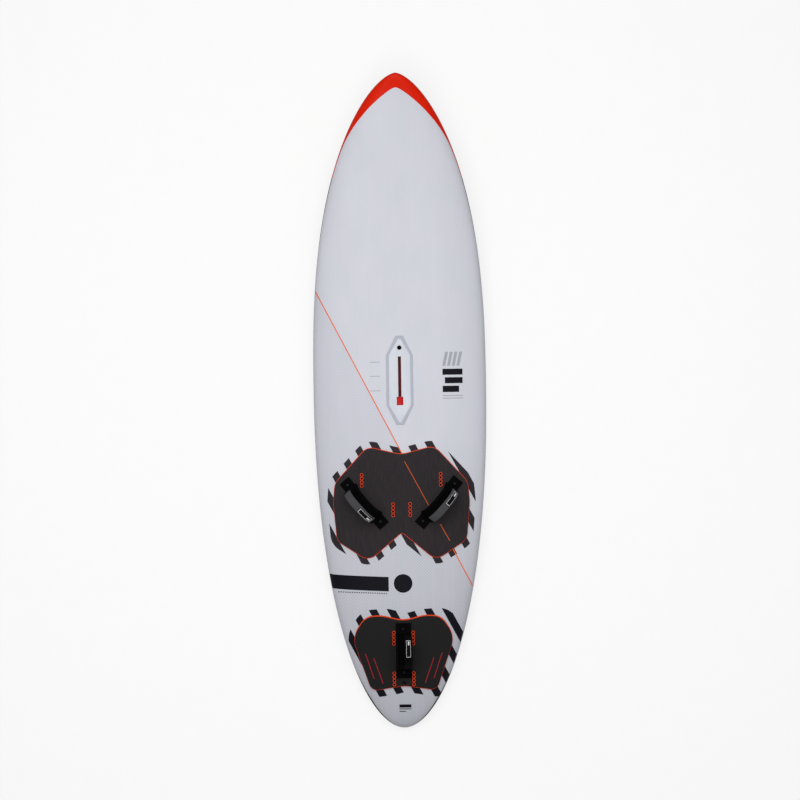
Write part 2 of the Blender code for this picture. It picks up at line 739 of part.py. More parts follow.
rail_front = CHANNEL_FRONT - GAP
rail_rear = TRACK_SLOT_REAR
rail_floor = channel_floor + GAP
rail_half = TRACK_CHANNEL_WIDTH / 2 - GAP
rail_inner = rail_half - RAIL_WALL
rail_top = -TRACK_LIP - GAP
rail_right = [(rail_half, rail_floor), (rail_half, rail_top), (rail_inner, rail_top),
              (rail_inner, rail_floor + RAIL_WALL)]
rail_shape = rail_right + [(-x, z) for x, z in reversed(rail_right)]
rail_points, rail_faces = prism(rail_shape, rail_rear, rail_front)
rail_solid = [(x, y, z) for x, z, y in rail_points], rail_faces
place("mast_track_rail", closed_mesh("mast_track_rail", [rail_solid]), RED_PLASTIC, TRACK_FRAME)

plug_cap = block(PLUG_WIDTH, PLUG_LENGTH - GAP, -PLUG_CAP, 0)
plug_stem = block(TRACK_CHANNEL_WIDTH - 2 * GAP, plug_well_length - 2 * GAP, -PLUG_STEM, -PLUG_CAP / 2)
plug_frame = TRACK_FRAME @ Matrix.Translation((0, plug_middle, 0))
plug = place("track_end_plug", closed_mesh("track_end_plug", [plug_cap]), RED_PLASTIC, plug_frame)
combine(plug, cutter("plug_stem", [moved(plug_stem, plug_frame)]), "UNION")

# Vent: housing, seal and screw

vent_frame = TRACK_FRAME @ Matrix.Translation((0, VENT_AHEAD, 0))
seat_depth = VENT_HEAD + VENT_SEAL_THICK + 2 * GAP
bore_depth = seat_depth + VENT_SHANK + GAP
bore_radius = VENT_SHANK_RADIUS + GAP
seat_radius = VENT_HEAD_RADIUS + GAP
housing = turned([(0, -VENT_DEPTH), (VENT_OUTER_RADIUS, -VENT_DEPTH), (VENT_OUTER_RADIUS, 0),
                  (seat_radius, 0), (seat_radius, -seat_depth), (bore_radius, -seat_depth),
                  (bore_radius, -bore_depth), (0, -bore_depth)], ROUND_SIDES)
place("vent_housing", closed_mesh("vent_housing", [housing]), BLACK_PLASTIC, vent_frame)
seal = ring_solid(VENT_SHANK_RADIUS + GAP + VENT_SEAL_WIDTH, VENT_SHANK_RADIUS + GAP, -seat_depth + GAP,
                  -seat_depth + GAP + VENT_SEAL_THICK, ROUND_SIDES)
place("vent_oring", closed_mesh("vent_oring", [seal]), BLACK_RUBBER, vent_frame)
vent_shank = VENT_HEAD + VENT_SEAL_THICK + GAP + VENT_SHANK
screw = turned([(0, -vent_shank), (VENT_SHANK_RADIUS, -vent_shank), (VENT_SHANK_RADIUS, -VENT_HEAD),
                (VENT_HEAD_RADIUS, -VENT_HEAD), (VENT_HEAD_RADIUS, 0), (0, 0)], ROUND_SIDES)
vent_screw = place("vent_screw", closed_mesh("vent_screw", [screw]), BLACK_PLASTIC, vent_frame)
coin_slot = block(VENT_COIN_SLOT, VENT_COIN_SLOT_LENGTH, -VENT_HEAD / 2, REACH)
combine(vent_screw, cutter("vent_coin_slot", [moved(coin_slot, vent_frame)]))

# Fin boxes and their clamp screws

centre_box = place("centre_fin_box",
                   closed_mesh("centre_fin_box", [prism(centre_outline(0), -CENTRE_BOX_FLANGE, 0)]),
                   BLACK_PLASTIC, CENTRE_FRAME)
centre_tub = block(CENTRE_TUB_WIDTH, CENTRE_TUB_LENGTH, -CENTRE_TUB_DEPTH, -CENTRE_BOX_FLANGE / 2)
combine(centre_box, cutter("centre_tub", [moved(centre_tub, CENTRE_FRAME)]), "UNION")
centre_slot = block(CENTRE_SLOT_WIDTH, CENTRE_SLOT_LENGTH, -CENTRE_SLOT_DEPTH, REACH)
combine(centre_box, cutter("centre_slot", [moved(centre_slot, CENTRE_FRAME)]))

clamp_depth = CLAMP_SCREW_SUNK + CLAMP_SCREW_LENGTH
clamp_profile = [(0, -clamp_depth), (CLAMP_SCREW_RADIUS, -clamp_depth),
                 (CLAMP_SCREW_RADIUS, -CLAMP_SCREW_SUNK), (CLAMP_SOCKET_RADIUS, -CLAMP_SCREW_SUNK),
                 (CLAMP_SOCKET_RADIUS, -CLAMP_SCREW_SUNK - CLAMP_SOCKET_DEPTH),
                 (0, -CLAMP_SCREW_SUNK - CLAMP_SOCKET_DEPTH)]
side_body = prism(side_outline(0), -SIDE_BOX_DEPTH, 0)
for side_name, side_frame in SIDE_FRAMES.items():
    inboard = 1 if side_name == "right" else -1
    box = place(f"{side_name}_fin_box", closed_mesh("side_fin_box", [side_body]), ORANGE_PLASTIC, side_frame)
    cuts = [block(SIDE_SLOT_WIDTH, SIDE_SLOT_LENGTH, -SIDE_SLOT_DEPTH, REACH, inboard * SIDE_SLOT_IN)]
    for end_name, end in (("front", 1), ("rear", -1)):
        spot = Matrix.Translation((-inboard * CLAMP_SCREW_OUT, end * CLAMP_SCREW_SPACING / 2, 0))
        hole = prism(circle(CLAMP_SCREW_RADIUS + GAP, ROUND_SIDES), -clamp_depth - GAP, REACH)
        cuts.append(moved(hole, spot))
        place(f"{side_name}_clamp_screw_{end_name}",
              closed_mesh("clamp_screw", [turned(clamp_profile, ROUND_SIDES)]), STEEL, side_frame @ spot)
    combine(box, cutter(f"{side_name}_fin_cuts", [moved(cut, side_frame) for cut in cuts]))

# Pads: an orange base and a charcoal top, cut from layers that follow the deck


def pad_outline(corners, from_tail, inset):
    """A pad's whole outline from its half, drawn in by an inset on each side."""
    left = [(-x, y, r) for x, y, r in reversed(corners) if x > 0]
    outline = rounded(corners + left)
    middle = along(from_tail)
    count = len(outline)
    drawn = []
    for index, (x, y) in enumerate(outline):
        run = Vector(outline[(index + 1) % count]) - Vector(outline[index - 1])
        inward = Vector((run.y, -run.x)).normalized() * inset
        drawn.append((x + inward.x, y + inward.y + middle))
    return drawn


def ring_spots(names):
    """Centres of the spare strips' holes, with the facet frame of each strip."""
    spots = []
    for name in names:
        frame = strip_frame(SPARE_STRIPS[name])
        spots += [frame @ Matrix.Translation((0, step, 0)) for step in strip_hole_places()]
    return spots


def make_pad(pad_name, corners, from_tail, bare_spots, screw_spots):
    """The two layers of one pad, with holes over the strips and for the strap screws."""
    low = GAP
    for layer_name, thick, inset, hole_radius, look in (
        ("base", PAD_BASE, 0.0, RING_INNER_RADIUS, ORANGE_FOAM),
        ("top", PAD_TOP, PAD_RIM, RING_OUTER_RADIUS, CHARCOAL_FOAM),
    ):
        name = f"{pad_name}_{layer_name}"
        outline = prism(pad_outline(corners, from_tail, inset), 0, 2 * BOARD_THICKNESS)
        pad = place(name, closed_mesh(name, [hull.deck_layer(low, low + thick)]), look)
        combine(pad, cutter(f"{name}_outline", [outline]), "INTERSECT")
        spare = prism(circle(hole_radius, SMALL_SIDES), -REACH, REACH)
        through = prism(circle(STRIP_HOLE_RADIUS + GAP, SMALL_SIDES), -REACH, REACH)
        holes = [moved(spare, spot) for spot in bare_spots]
        holes += [moved(through, spot) for spot in screw_spots]
        combine(pad, cutter(f"{name}_holes", holes))
        low += thick + GAP


front_spares = [name for name in SPARE_STRIPS if name.startswith("front")]
rear_spares = [name for name in SPARE_STRIPS if name.startswith("rear")]
rear_bare_hole = strip_frame(STRAPS[2].strips[1]) @ Matrix.Translation((0, strip_hole_places()[0], 0))
make_pad("front_pad", FRONT_PAD_CORNERS, FRONT_PAD_FROM_TAIL, ring_spots(front_spares),
         STRAPS[0].tabs + STRAPS[1].tabs)
make_pad("rear_pad", REAR_PAD_CORNERS, REAR_PAD_FROM_TAIL, ring_spots(rear_spares) + [rear_bare_hole],
         STRAPS[2].tabs)

# Plug strips

strip_holes = [prism(circle(STRIP_HOLE_RADIUS, SMALL_SIDES, 0, step), -STRIP_HOLE_DEPTH, REACH)
               for step in strip_hole_places()]
for strip_name, strip_place in {**SPARE_STRIPS, **STRAP_STRIPS}.items():
    kind = "spare_plug" if strip_name in SPARE_STRIPS else "strap_plug"
    frame = strip_frame(strip_place)
    node = f"{kind}_{strip_name}"
    strip = place(node, closed_mesh(node, [prism(strip_outline(0), -STRIP_DEPTH, 0)]), BLACK_PLASTIC, frame)
    combine(strip, cutter(f"{node}_holes", [moved(hole, frame) for hole in strip_holes]))

# Foot straps


def arch_point(reach, degrees, out=0.0):
    """A point of the arch in X and Z, moved out along its normal."""
    turn = math.radians(degrees)

    def spot(angle):
        across = math.copysign(abs(math.sin(angle)) ** (2 / STRAP_ARCH_POWER), angle)
        return Vector((reach * across, STRAP_RISE * max(0.0, math.cos(angle)) ** (2 / STRAP_ARCH_POWER)))

    step = math.radians(ARCH_STEP)
    run = spot(min(turn + step, math.pi / 2)) - spot(max(turn - step, -math.pi / 2))
    normal = Vector((-run.y, run.x)).normalized()
    return spot(turn) + out * normal


def arch_turns():
    """Angles along the arch from one end of the sleeve to the other."""
    return [SLEEVE_END * (2 * step / ARCH_FACETS - 1) for step in range(ARCH_FACETS + 1)]


def swept(rings, cores=None):
    """A solid through rings of points, with plain ends or with a hollow through its length."""
    size = len(rings[0])
    points = [point for ring in rings for point in ring]
    tubes = [0]
    if cores:
        tubes.append(len(points))
        points += [point for ring in cores for point in ring]
    faces = []
    for start in tubes:
        for row in range(len(rings) - 1):
            for index in range(size):
                after = (index + 1) % size
                a, b = start + row * size, start + (row + 1) * size
                faces.append((a + index, a + after, b + after, b + index))
    for row in (0, len(rings) - 1):
        first = row * size
        if not cores:
            faces.append(tuple(first + index for index in range(size)))
            continue
        second = tubes[1] + first
        for index in range(size):
            after = (index + 1) % size
            faces.append((first + index, first + after, second + after, second + index))
    return points, faces


def band_ring(reach, degrees, half, low, high, side=0.0):
    """Four corners of a band across the arch between two offsets."""
    ring = []
    for out, y in ((low, side - half), (low, side + half), (high, side + half), (high, side - half)):
        spot = arch_point(reach, degrees, out)
        ring.append((spot.x, y, spot.y))
    return ring


def webbing_solid(reach):
    """The webbing: an arch whose two ends are half discs that turn on the strap's axis."""
    radius = WEBBING_WIDTH / 2
    half_thick = WEBBING_THICK / 2
    rings = [band_ring(reach, turn, radius, -half_thick, half_thick) for turn in [-90] + arch_turns() + [90]]
    for end in (-1, 1):
        tail = []
        for degrees in WEBBING_END_ANGLES:
            turn = math.radians(degrees)
            half = radius * math.cos(turn)
            drop = -radius * math.sin(turn)
            inner, outer = end * (reach - half_thick), end * (reach + half_thick)
            corners = ((inner, -half), (inner, half), (outer, half), (outer, -half))
            tail.append([(x, y, drop) for x, y in corners])
        rings = tail[::-1] + rings if end < 0 else rings + tail
    return swept(rings)


def sleeve_solid(reach):
    """The padded sleeve: a flat tube with thin edges round the webbing."""
    half, thick = SLEEVE_WIDTH / 2, SLEEVE_THICK / 2
    edge_half, edge_thick = half - SLEEVE_EDGE, thick - SLEEVE_EDGE * SLEEVE_EDGE_SLOPE
    hole_half, hole_thick = WEBBING_WIDTH / 2 + GAP, WEBBING_THICK / 2 + GAP
    outer = [(-edge_half, -thick), (edge_half, -thick), (half, -edge_thick), (half, edge_thick),
             (edge_half, thick), (-edge_half, thick), (-half, edge_thick), (-half, -edge_thick)]
    inner_half = hole_half * SLEEVE_CORE_SHARE
    inner = [(-inner_half, -hole_thick), (inner_half, -hole_thick), (hole_half, -hole_thick),
             (hole_half, hole_thick), (inner_half, hole_thick), (-inner_half, hole_thick),
             (-hole_half, hole_thick), (-hole_half, -hole_thick)]
    rings = []
    cores = []
    for turn in arch_turns():
        for shape, rows in ((outer, rings), (inner, cores)):
            row = []
            for y, out in shape:
                spot = arch_point(reach, turn, out)
                row.append((spot.x, y, spot.y))
            rows.append(row)
    return swept(rings, cores)


def flap_solid(reach, axis_spot):
    """The closing strip on the sleeve's outer face, about its hinge line at one end."""
    low = SLEEVE_THICK / 2 + GAP
    rings = [band_ring(reach, turn, FLAP_WIDTH / 2, low, low + FLAP_THICK, FLAP_SIDE)
             for turn in arch_turns()[FLAP_SKIP_FACETS:-FLAP_SKIP_FACETS]]
    points, faces = swept(rings)
    return [(x - axis_spot.x, y, z - axis_spot.y) for x, y, z in points], faces


def tab_shape(neck):
    """An end tab: a plate with an upright neck at its inner edge."""
    half = TAB_SIZE / 2
    top = neck.z - (WEBBING_WIDTH / 2 + TURN_GAP) * math.sin(math.radians(STRAP_NECK_ANGLE))
    inner, outer = neck.x + TAB_NECK / 2, neck.x - TAB_NECK / 2
    side = [(-half, 0), (inner, 0), (inner, top), (outer, top), (outer, TAB_PLATE), (-half, TAB_PLATE)]
    points, faces = prism(side, -half, half)
    return [(x, y, z) for x, z, y in points], faces


def make_strap(strap):
    """One strap: webbing, sleeve and flap on their axis, and its two screwed tabs."""
    axis = bpy.data.objects.new(f"{strap.name}_strap_axis", None)
    bpy.context.collection.objects.link(axis)
    axis.matrix_local = strap.frame
    name = f"{strap.name}_strap"
    for piece, solid, look in (
        ("webbing", webbing_solid(strap.reach), BLACK_WEBBING),
        ("sleeve", sleeve_solid(strap.reach), BLACK_SLEEVE),
    ):
        place(f"{name}_{piece}", closed_mesh(f"{name}_{piece}", [solid]), look, parent=axis)
    hinge = arch_point(strap.reach, arch_turns()[-FLAP_SKIP_FACETS - 1], SLEEVE_THICK / 2 + GAP)
    flap_mesh = closed_mesh(f"{name}_flap", [flap_solid(strap.reach, hinge)])
    place(f"{name}_flap", flap_mesh, GREY_FLAP, Matrix.Translation((hinge.x, 0, hinge.y)), axis)
    for end_name, end, tab_frame in zip(strap.ends, (-1, 1), strap.tabs):
        foot = strap.frame @ Vector((end * strap.reach, 0, 0))
        neck = tab_frame.inverted() @ foot
        tab_name = f"{name}_tab_{end_name}"
        tab = place(tab_name, closed_mesh(tab_name, [tab_shape(neck)]), BLACK_PLASTIC, tab_frame)
        hole = moved(prism(circle(STRIP_HOLE_RADIUS, SMALL_SIDES), -REACH, REACH), tab_frame)
        disc_points, disc_faces = prism(circle(WEBBING_WIDTH / 2 + TURN_GAP, NECK_SIDES), -TAB_NECK, TAB_NECK)
        disc = [(z + end * strap.reach, x, y) for x, y, z in disc_points], disc_faces
        combine(tab, cutter(f"{tab_name}_cuts", [hole, moved(disc, strap.frame)]))
        head = TAB_PLATE + GAP
        end_depth = -(PAD_LIFT + GAP + STRAP_SCREW_GRIP)
        socket_floor = head + STRAP_SCREW_HEAD - STRAP_SCREW_SOCKET_DEPTH
        profile = [(0, end_depth), (STRAP_SCREW_RADIUS, end_depth), (STRAP_SCREW_RADIUS, head),
                   (STRAP_SCREW_HEAD_RADIUS, head), (STRAP_SCREW_HEAD_RADIUS, head + STRAP_SCREW_HEAD / 2),
                   (STRAP_SCREW_HEAD_RADIUS * STRAP_SCREW_CROWN_SHARE, head + STRAP_SCREW_HEAD),
                   (STRAP_SCREW_SOCKET_RADIUS, head + STRAP_SCREW_HEAD),
                   (STRAP_SCREW_SOCKET_RADIUS, socket_floor), (0, socket_floor)]
        screw_mesh = closed_mesh(f"{name}_screw_{end_name}", [turned(profile, SMALL_SIDES)])
        place(f"{name}_screw_{end_name}", screw_mesh, STEEL, tab_frame)


for strap in STRAPS:
    make_strap(strap)
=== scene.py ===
import math

import bpy
from mathutils import Matrix, Vector


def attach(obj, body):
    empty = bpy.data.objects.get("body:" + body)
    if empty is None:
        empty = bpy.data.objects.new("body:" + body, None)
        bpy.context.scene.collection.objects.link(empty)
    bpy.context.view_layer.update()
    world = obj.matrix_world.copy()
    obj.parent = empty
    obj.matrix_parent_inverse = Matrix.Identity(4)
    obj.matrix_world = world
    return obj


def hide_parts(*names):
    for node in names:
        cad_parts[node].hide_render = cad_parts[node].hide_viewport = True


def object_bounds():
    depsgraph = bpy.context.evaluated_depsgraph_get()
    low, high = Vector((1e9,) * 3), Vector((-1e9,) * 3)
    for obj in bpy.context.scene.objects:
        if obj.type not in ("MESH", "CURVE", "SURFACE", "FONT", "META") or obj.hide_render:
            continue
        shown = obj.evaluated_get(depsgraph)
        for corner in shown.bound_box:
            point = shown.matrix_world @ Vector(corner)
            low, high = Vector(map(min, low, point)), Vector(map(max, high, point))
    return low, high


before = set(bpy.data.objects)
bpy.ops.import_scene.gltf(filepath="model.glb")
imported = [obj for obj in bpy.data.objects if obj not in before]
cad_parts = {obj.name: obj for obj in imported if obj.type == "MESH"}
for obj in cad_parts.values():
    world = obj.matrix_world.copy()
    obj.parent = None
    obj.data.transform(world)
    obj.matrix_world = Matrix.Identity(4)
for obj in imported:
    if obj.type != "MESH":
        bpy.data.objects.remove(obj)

# The studio: a sheet of pale paper for a floor, one broad soft lamp overhead and an even white room.
# The camera looks straight down with no perspective and leans a little, as the board was pictured.
FRAME_PIXELS = 800
BOARD_PIXELS = 655
CAMERA_LEAN = math.radians(-0.857)
CAMERA_HEIGHT = 4.0
LAMP_SPOT = (-0.25, 0.35, 3.0)
LAMP_TILT = (-0.10, -0.08, 0.0)
LAMP_SIZE = 2.6
LAMP_POWER = 60.0
FLOOR_SIZE = 60.0
FLOOR_HEIGHT = -0.0012
ROOM_DIMMED = 0.4
ROOM_MIRRORED = 0.6
PAPER_GLOW = 0.80
PAPER_UNSEEN = (0.45, 0.45, 0.45)
WHITE = (1.0, 1.0, 1.0, 1.0)
cad_low, cad_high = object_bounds()


class Tone:
    """A value running through a finish: sums and comparisons on it add Math nodes."""

    def __init__(self, socket):
        self.socket = socket

    def node(self, kind, settings, sockets, output=0):
        """Add any other node: its settings come first, then the values or tones of its sockets."""
        tree = self.socket.id_data
        made = tree.nodes.new(kind)
        for name, value in settings.items():
            if name != "stops":
                setattr(made, name, value)
                continue
            while len(made.color_ramp.elements) < len(value):
                made.color_ramp.elements.new(1.0)
            for stop, (place, colour) in zip(made.color_ramp.elements, value):
                stop.position = place
                stop.color = (*colour, 1.0)
        for name, value in sockets.items():
            if isinstance(value, Tone):
                tree.links.new(value.socket, made.inputs[name])
            else:
                made.inputs[name].default_value = value
        return Tone(made.outputs[output])

    def maths(self, operation, first, second):
        return self.node("ShaderNodeMath", {"operation": operation}, {0: first, 1: second})

    def __add__(self, other):
        return self.maths("ADD", self, other)

    def __sub__(self, other):
        return self.maths("SUBTRACT", self, other)

    def __rsub__(self, other):
        return self.maths("SUBTRACT", other, self)

    def __mul__(self, other):
        return self.maths("MULTIPLY", self, other)

    def __gt__(self, other):
        return self.maths("GREATER_THAN", self, other)

    def __lt__(self, other):
        return self.maths("LESS_THAN", self, other)

    __radd__ = __add__
    __rmul__ = __mul__


def feed(shader, socket, tone):
    shader.id_data.links.new(tone.socket, shader.inputs[socket])


def blended(low, high, share):
    """A colour between two, by a tone from 0 to 1; either end may be a colour or another blend."""
    ends = [end if isinstance(end, Tone) else (*end, 1.0) for end in (low, high)]
    return share.node("ShaderNodeMix", {"data_type": "RGBA"}, {0: share, 6: ends[0], 7: ends[1]}, output=2)


def seen_rays(tree, mirrored):
    """1 for light seen straight or through glass, the given share for light seen in a shine, or else 0."""
    rays = tree.nodes.new("ShaderNodeLightPath").outputs
    seen = Tone(rays["Is Camera Ray"])
    seen = seen.maths("MAXIMUM", seen, Tone(rays["Is Transmission Ray"]))
    return seen.maths("MAXIMUM", seen, Tone(rays["Is Glossy Ray"]) * mirrored)


bpy.ops.object.select_all(action="DESELECT")
bpy.context.scene.view_settings.view_transform = "Standard"
bpy.ops.object.camera_add(
    location=(0.0, (cad_low.y + cad_high.y) / 2, CAMERA_HEIGHT), rotation=(0.0, 0.0, CAMERA_LEAN))
camera = bpy.context.object
camera.data.type = "ORTHO"
camera.data.ortho_scale = (cad_high.y - cad_low.y) * FRAME_PIXELS / BOARD_PIXELS
bpy.context.scene.camera = camera

bpy.ops.object.light_add(type="AREA", location=LAMP_SPOT, rotation=LAMP_TILT)
lamp = bpy.context.object
lamp.data.size = LAMP_SIZE
lamp.data.energy = LAMP_POWER
lamp.visible_camera = False

room = bpy.data.worlds.new("white_room")
bpy.context.scene.world = room
room.use_nodes = True
room_light = room.node_tree.nodes["Background"]
room_light.inputs["Color"].default_value = WHITE
room_seen = seen_rays(room.node_tree, ROOM_MIRRORED)
feed(room_light, "Strength", room_seen * (1 - ROOM_DIMMED) + ROOM_DIMMED)

bpy.ops.mesh.primitive_plane_add(size=FLOOR_SIZE, location=(0.0, 0.0, FLOOR_HEIGHT))
floor = bpy.context.object
floor.name = "studio_floor"
paper = bpy.data.materials.new("floor_paper")
paper.use_nodes = True
floor.data.materials.append(paper)
paper_nodes = paper.node_tree.nodes
paper_nodes.remove(paper_nodes["Principled BSDF"])
paper_seen = seen_rays(paper.node_tree, 1.0)
paper_grain = paper_seen.node("ShaderNodeTexNoise", {}, {"Scale": 900.0, "Detail": 3.0})
paper_fleck = paper_seen.node("ShaderNodeValToRGB", {
    "stops": [(0.3, (0.93, 0.93, 0.93)), (0.7, (0.97, 0.97, 0.97))]}, {"Fac": paper_grain})
paper_tint = blended(PAPER_UNSEEN, paper_fleck, paper_seen)
paper_matt = paper_seen.node("ShaderNodeBsdfDiffuse", {}, {"Color": paper_tint})
paper_white = paper_seen.node("ShaderNodeEmission", {}, {"Color": WHITE, "Strength": 1.0})
paper_front = paper_seen.node("ShaderNodeMixShader", {}, {
    "Fac": paper_seen * PAPER_GLOW, 1: paper_matt, 2: paper_white})
paper_back = Tone(paper_nodes.new("ShaderNodeNewGeometry").outputs["Backfacing"])
paper_clear = paper_seen.node("ShaderNodeBsdfTransparent", {}, {})
paper_sheet = paper_seen.node("ShaderNodeMixShader", {}, {
    "Fac": paper_back, 1: paper_front, 2: paper_clear})
feed(paper_nodes["Material Output"], "Surface", paper_sheet)

# The core: one blank of expanded bead foam, cut to the board's shape by hot wire and sealed inside the
# two shells. It keeps its CAD shape, and its finish shows the pressed beads.


def rgb(red, green, blue):
    """A colour picked as it looks on a screen, 0 to 255, as the light the shader works in."""
    light = []
    for part in (red, green, blue):
        share = part / 255.0
        light.append(share / 12.92 if share <= 0.04045 else ((share + 0.055) / 1.055) ** 2.4)
    return tuple(light)


def new_finish(name, shine, metal=0.0):
    """A material with an even shine; gives it and the place that its patterns read."""
    material = bpy.data.materials.new(name)
    material.use_nodes = True
    shader = material.node_tree.nodes["Principled BSDF"]
    shader.inputs["Specular IOR Level"].default_value = shine
    shader.inputs["Metallic"].default_value = metal
    return material, Tone(material.node_tree.nodes.new("ShaderNodeTexCoord").outputs["Object"])


def noise(place, scale, stretch=(1.0, 1.0, 1.0), detail=3.0):
    """Cloudy speckle of a size set by scale, drawn out along the axes with the smaller stretch."""
    spread = place.node("ShaderNodeMapping", {}, {"Vector": place, "Scale": stretch})
    return place.node("ShaderNodeTexNoise", {}, {"Vector": spread, "Scale": scale, "Detail": detail})


def surfaced(material, colour, roughness, height, strength, distance):
    """Give a finish its colour, its roughness and its relief: strength 0 to 1, distance in metres."""
    shader = material.node_tree.nodes["Principled BSDF"]
    feed(shader, "Base Color", colour)
    feed(shader, "Roughness", roughness)
    feed(shader, "Normal", height.node("ShaderNodeBump", {}, {
        "Strength": strength, "Distance": distance, "Height": height}))
    return material


def coat(piece, material):
    """Give a piece one finish all over."""
    piece.data.materials.clear()
    piece.data.materials.append(material)


foam, foam_place = new_finish("bead_foam", 0.2)
bead = foam_place.node("ShaderNodeTexVoronoi", {}, {"Vector": foam_place, "Scale": 260.0})
foam_colour = blended(rgb(246, 243, 232), rgb(214, 208, 190), bead)
surfaced(foam, foam_colour, bead * 0.2 + 0.75, 1.0 - bead, 0.5, 0.001)
coat(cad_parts["foam_core"], foam)

# The deck shell: glass and foam sandwich laid up in a mould, rolled over to a seam on the rail. It is
# sprayed satin grey, rubbed along its length, and has pockets for the mast track and the screw plugs.
BOARD_LENGTH = 2.300
BOARD_WIDTH = 0.606
BOARD_THICKNESS = 0.118
WIDE_POINT = 1.200
NOSE_SPAN = BOARD_LENGTH - WIDE_POINT
RAIL_SHARE = 0.40
DECK_CROWN = 2.5
SHELL_WALL = 0.003
NOSE_PAINT_MIDDLE = 2.248
NOSE_PAINT_SEAM = 1.9216
RAIL_PAINT = [(0.0, 0.48), (0.10, 0.42), (0.23, 0.16), (0.40, 0.05), (1.15, 0.04), (1.51, 0.10),
              (1.80, 0.19), (1.95, 0.25), (2.06, 0.31), (2.146, 0.43), (2.30, 0.45)]
DECK_COLUMNS = 96
DECK_ROWS = 220
POCKET_GAP = 0.0003
POCKET_DEPTH = 0.02
STRIP_POCKET_DEPTH = 0.008
WIDTH_POWERS = ((2.55, 0.64), (2.2, 0.53))
THICKNESS_POWERS = ((2.0, 0.40), (2.5, 0.42))
FLAT_FROM = 0.7
NOSE_ROCKER = 0.110
NOSE_KICK = 0.075
TAIL_ROCKER = 0.009


def taper(from_tail, powers):
    """A size as a share of its greatest: 1 at the wide point, falling off to the nose and to the tail."""
    if from_tail > WIDE_POINT:
        away, (inner, outer) = (from_tail - WIDE_POINT) / NOSE_SPAN, powers[0]
    else:
        away, (inner, outer) = (WIDE_POINT - from_tail) / WIDE_POINT, powers[1]
    return (1 - min(away, 1.0) ** inner) ** outer


def half_width(from_tail):
    return BOARD_WIDTH / 2 * taper(from_tail, WIDTH_POWERS)


def thickness(from_tail):
    return BOARD_THICKNESS * taper(from_tail, THICKNESS_POWERS)


def bottom_height(from_tail):
    """The rocker: how far the bottom lies above its lowest line, where it is flat up to the wide point."""
    if from_tail > WIDE_POINT:
        ahead = (from_tail - WIDE_POINT) / NOSE_SPAN
        return NOSE_ROCKER * ahead ** 2 + NOSE_KICK * ahead ** 14
    return TAIL_ROCKER * (max(FLAT_FROM - from_tail, 0.0) / FLAT_FROM) ** 2


def crowned(share):
    """The deck's section: the rise at a share of the half width, or the share at a rise."""
    return (1 - share ** DECK_CROWN) ** (1 / DECK_CROWN)


def above_seam(rise, from_tail):
    """The height of the board's side at a rise above the seam, as a share of the deck's crown."""
    return bottom_height(from_tail) + thickness(from_tail) * (RAIL_SHARE + (1 - RAIL_SHARE) * rise)


def deck_height(x, from_tail):
    across = min(abs(x) / max(half_width(from_tail), 1e-6), 1.0)
    return above_seam(crowned(across), from_tail)


def ahead_of_middle(from_tail):
    return from_tail - BOARD_LENGTH / 2


def nose_paint_edge(share):
    """Where the nose colour starts, from the tail, for a share of the deck colour's half width."""
    swept = 1 - (1 - abs(share) ** 1.55) ** 0.22
    return NOSE_PAINT_MIDDLE - (NOSE_PAINT_MIDDLE - NOSE_PAINT_SEAM) * swept


def paint_rise(from_tail):
    """How far the rail colour climbs above the seam, as a share of the deck's crown."""
    for (start, low), (end, high) in zip(RAIL_PAINT, RAIL_PAINT[1:]):
        if from_tail <= end:
            return low + (high - low) * (from_tail - start) / (end - start)
    return RAIL_PAINT[-1][1]


def behind_edge(edge, share):
    """Rows from the tail to a paint edge, closing up towards both ends."""
    return edge * (1 - math.cos(math.pi * share)) / 2


def drawn_sheet(name, columns, rows, point):
    """A flat grid drawn into shape: point(u, v) gives the place of each crossing, u and v from 0 to 1."""
    bpy.ops.object.select_all(action="DESELECT")
    bpy.ops.mesh.primitive_grid_add(x_subdivisions=columns, y_subdivisions=rows, size=1.0)
    sheet = bpy.context.object
    sheet.name = name
    for vertex in sheet.data.vertices:
        vertex.co = point(vertex.co.x + 0.5, vertex.co.y + 0.5)
    return sheet


def edit_all():
    """Open the active piece for editing, with all of it selected."""
    bpy.ops.object.mode_set(mode="EDIT")
    bpy.ops.mesh.select_all(action="SELECT")


def end_edit():
    bpy.ops.object.mode_set(mode="OBJECT")


def close_seams(piece, outward=True):
    """Merge the points that meet and turn the faces outwards."""
    edit_all()
    bpy.ops.mesh.remove_doubles(threshold=1e-6)
    if outward:
        bpy.ops.mesh.normals_make_consistent(inside=False)
    end_edit()
    return piece


def make_active(piece):
    bpy.ops.object.select_all(action="DESELECT")
    piece.select_set(True)
    bpy.context.view_layer.objects.active = piece


def joined(name, pieces):
    make_active(pieces[0])
    for piece in pieces:
        piece.select_set(True)
    if len(pieces) > 1:
        bpy.ops.object.join()
    bpy.context.object.name = name
    return bpy.context.object


def modify(piece, kind, **settings):
    """Put a modifier on a piece and apply it."""
    make_active(piece)
    modifier = piece.modifiers.new(kind.lower(), kind)
    for name, value in settings.items():
        setattr(modifier, name, value)
    bpy.ops.object.modifier_apply(modifier=modifier.name)
    return piece


def thicken(piece, wall, clamp=0.0):
    """Give a sheet a wall on its inner side."""
    return modify(piece, "SOLIDIFY", thickness=wall, thickness_clamp=clamp, offset=-1.0)


def shell(name, sheets):
    """Join sheets into one shell with a wall that closes up at the thin tips."""
    return thicken(close_seams(joined(name, sheets), outward=False), SHELL_WALL, 1.0)


def cut(piece, tools):
    """Cut the joined tools out of a piece and throw them away."""
    tool = joined("cutting_tool", tools)
    modify(piece, "BOOLEAN", operation="DIFFERENCE", solver="EXACT", object=tool)
    bpy.data.objects.remove(tool, do_unlink=True)
    return piece


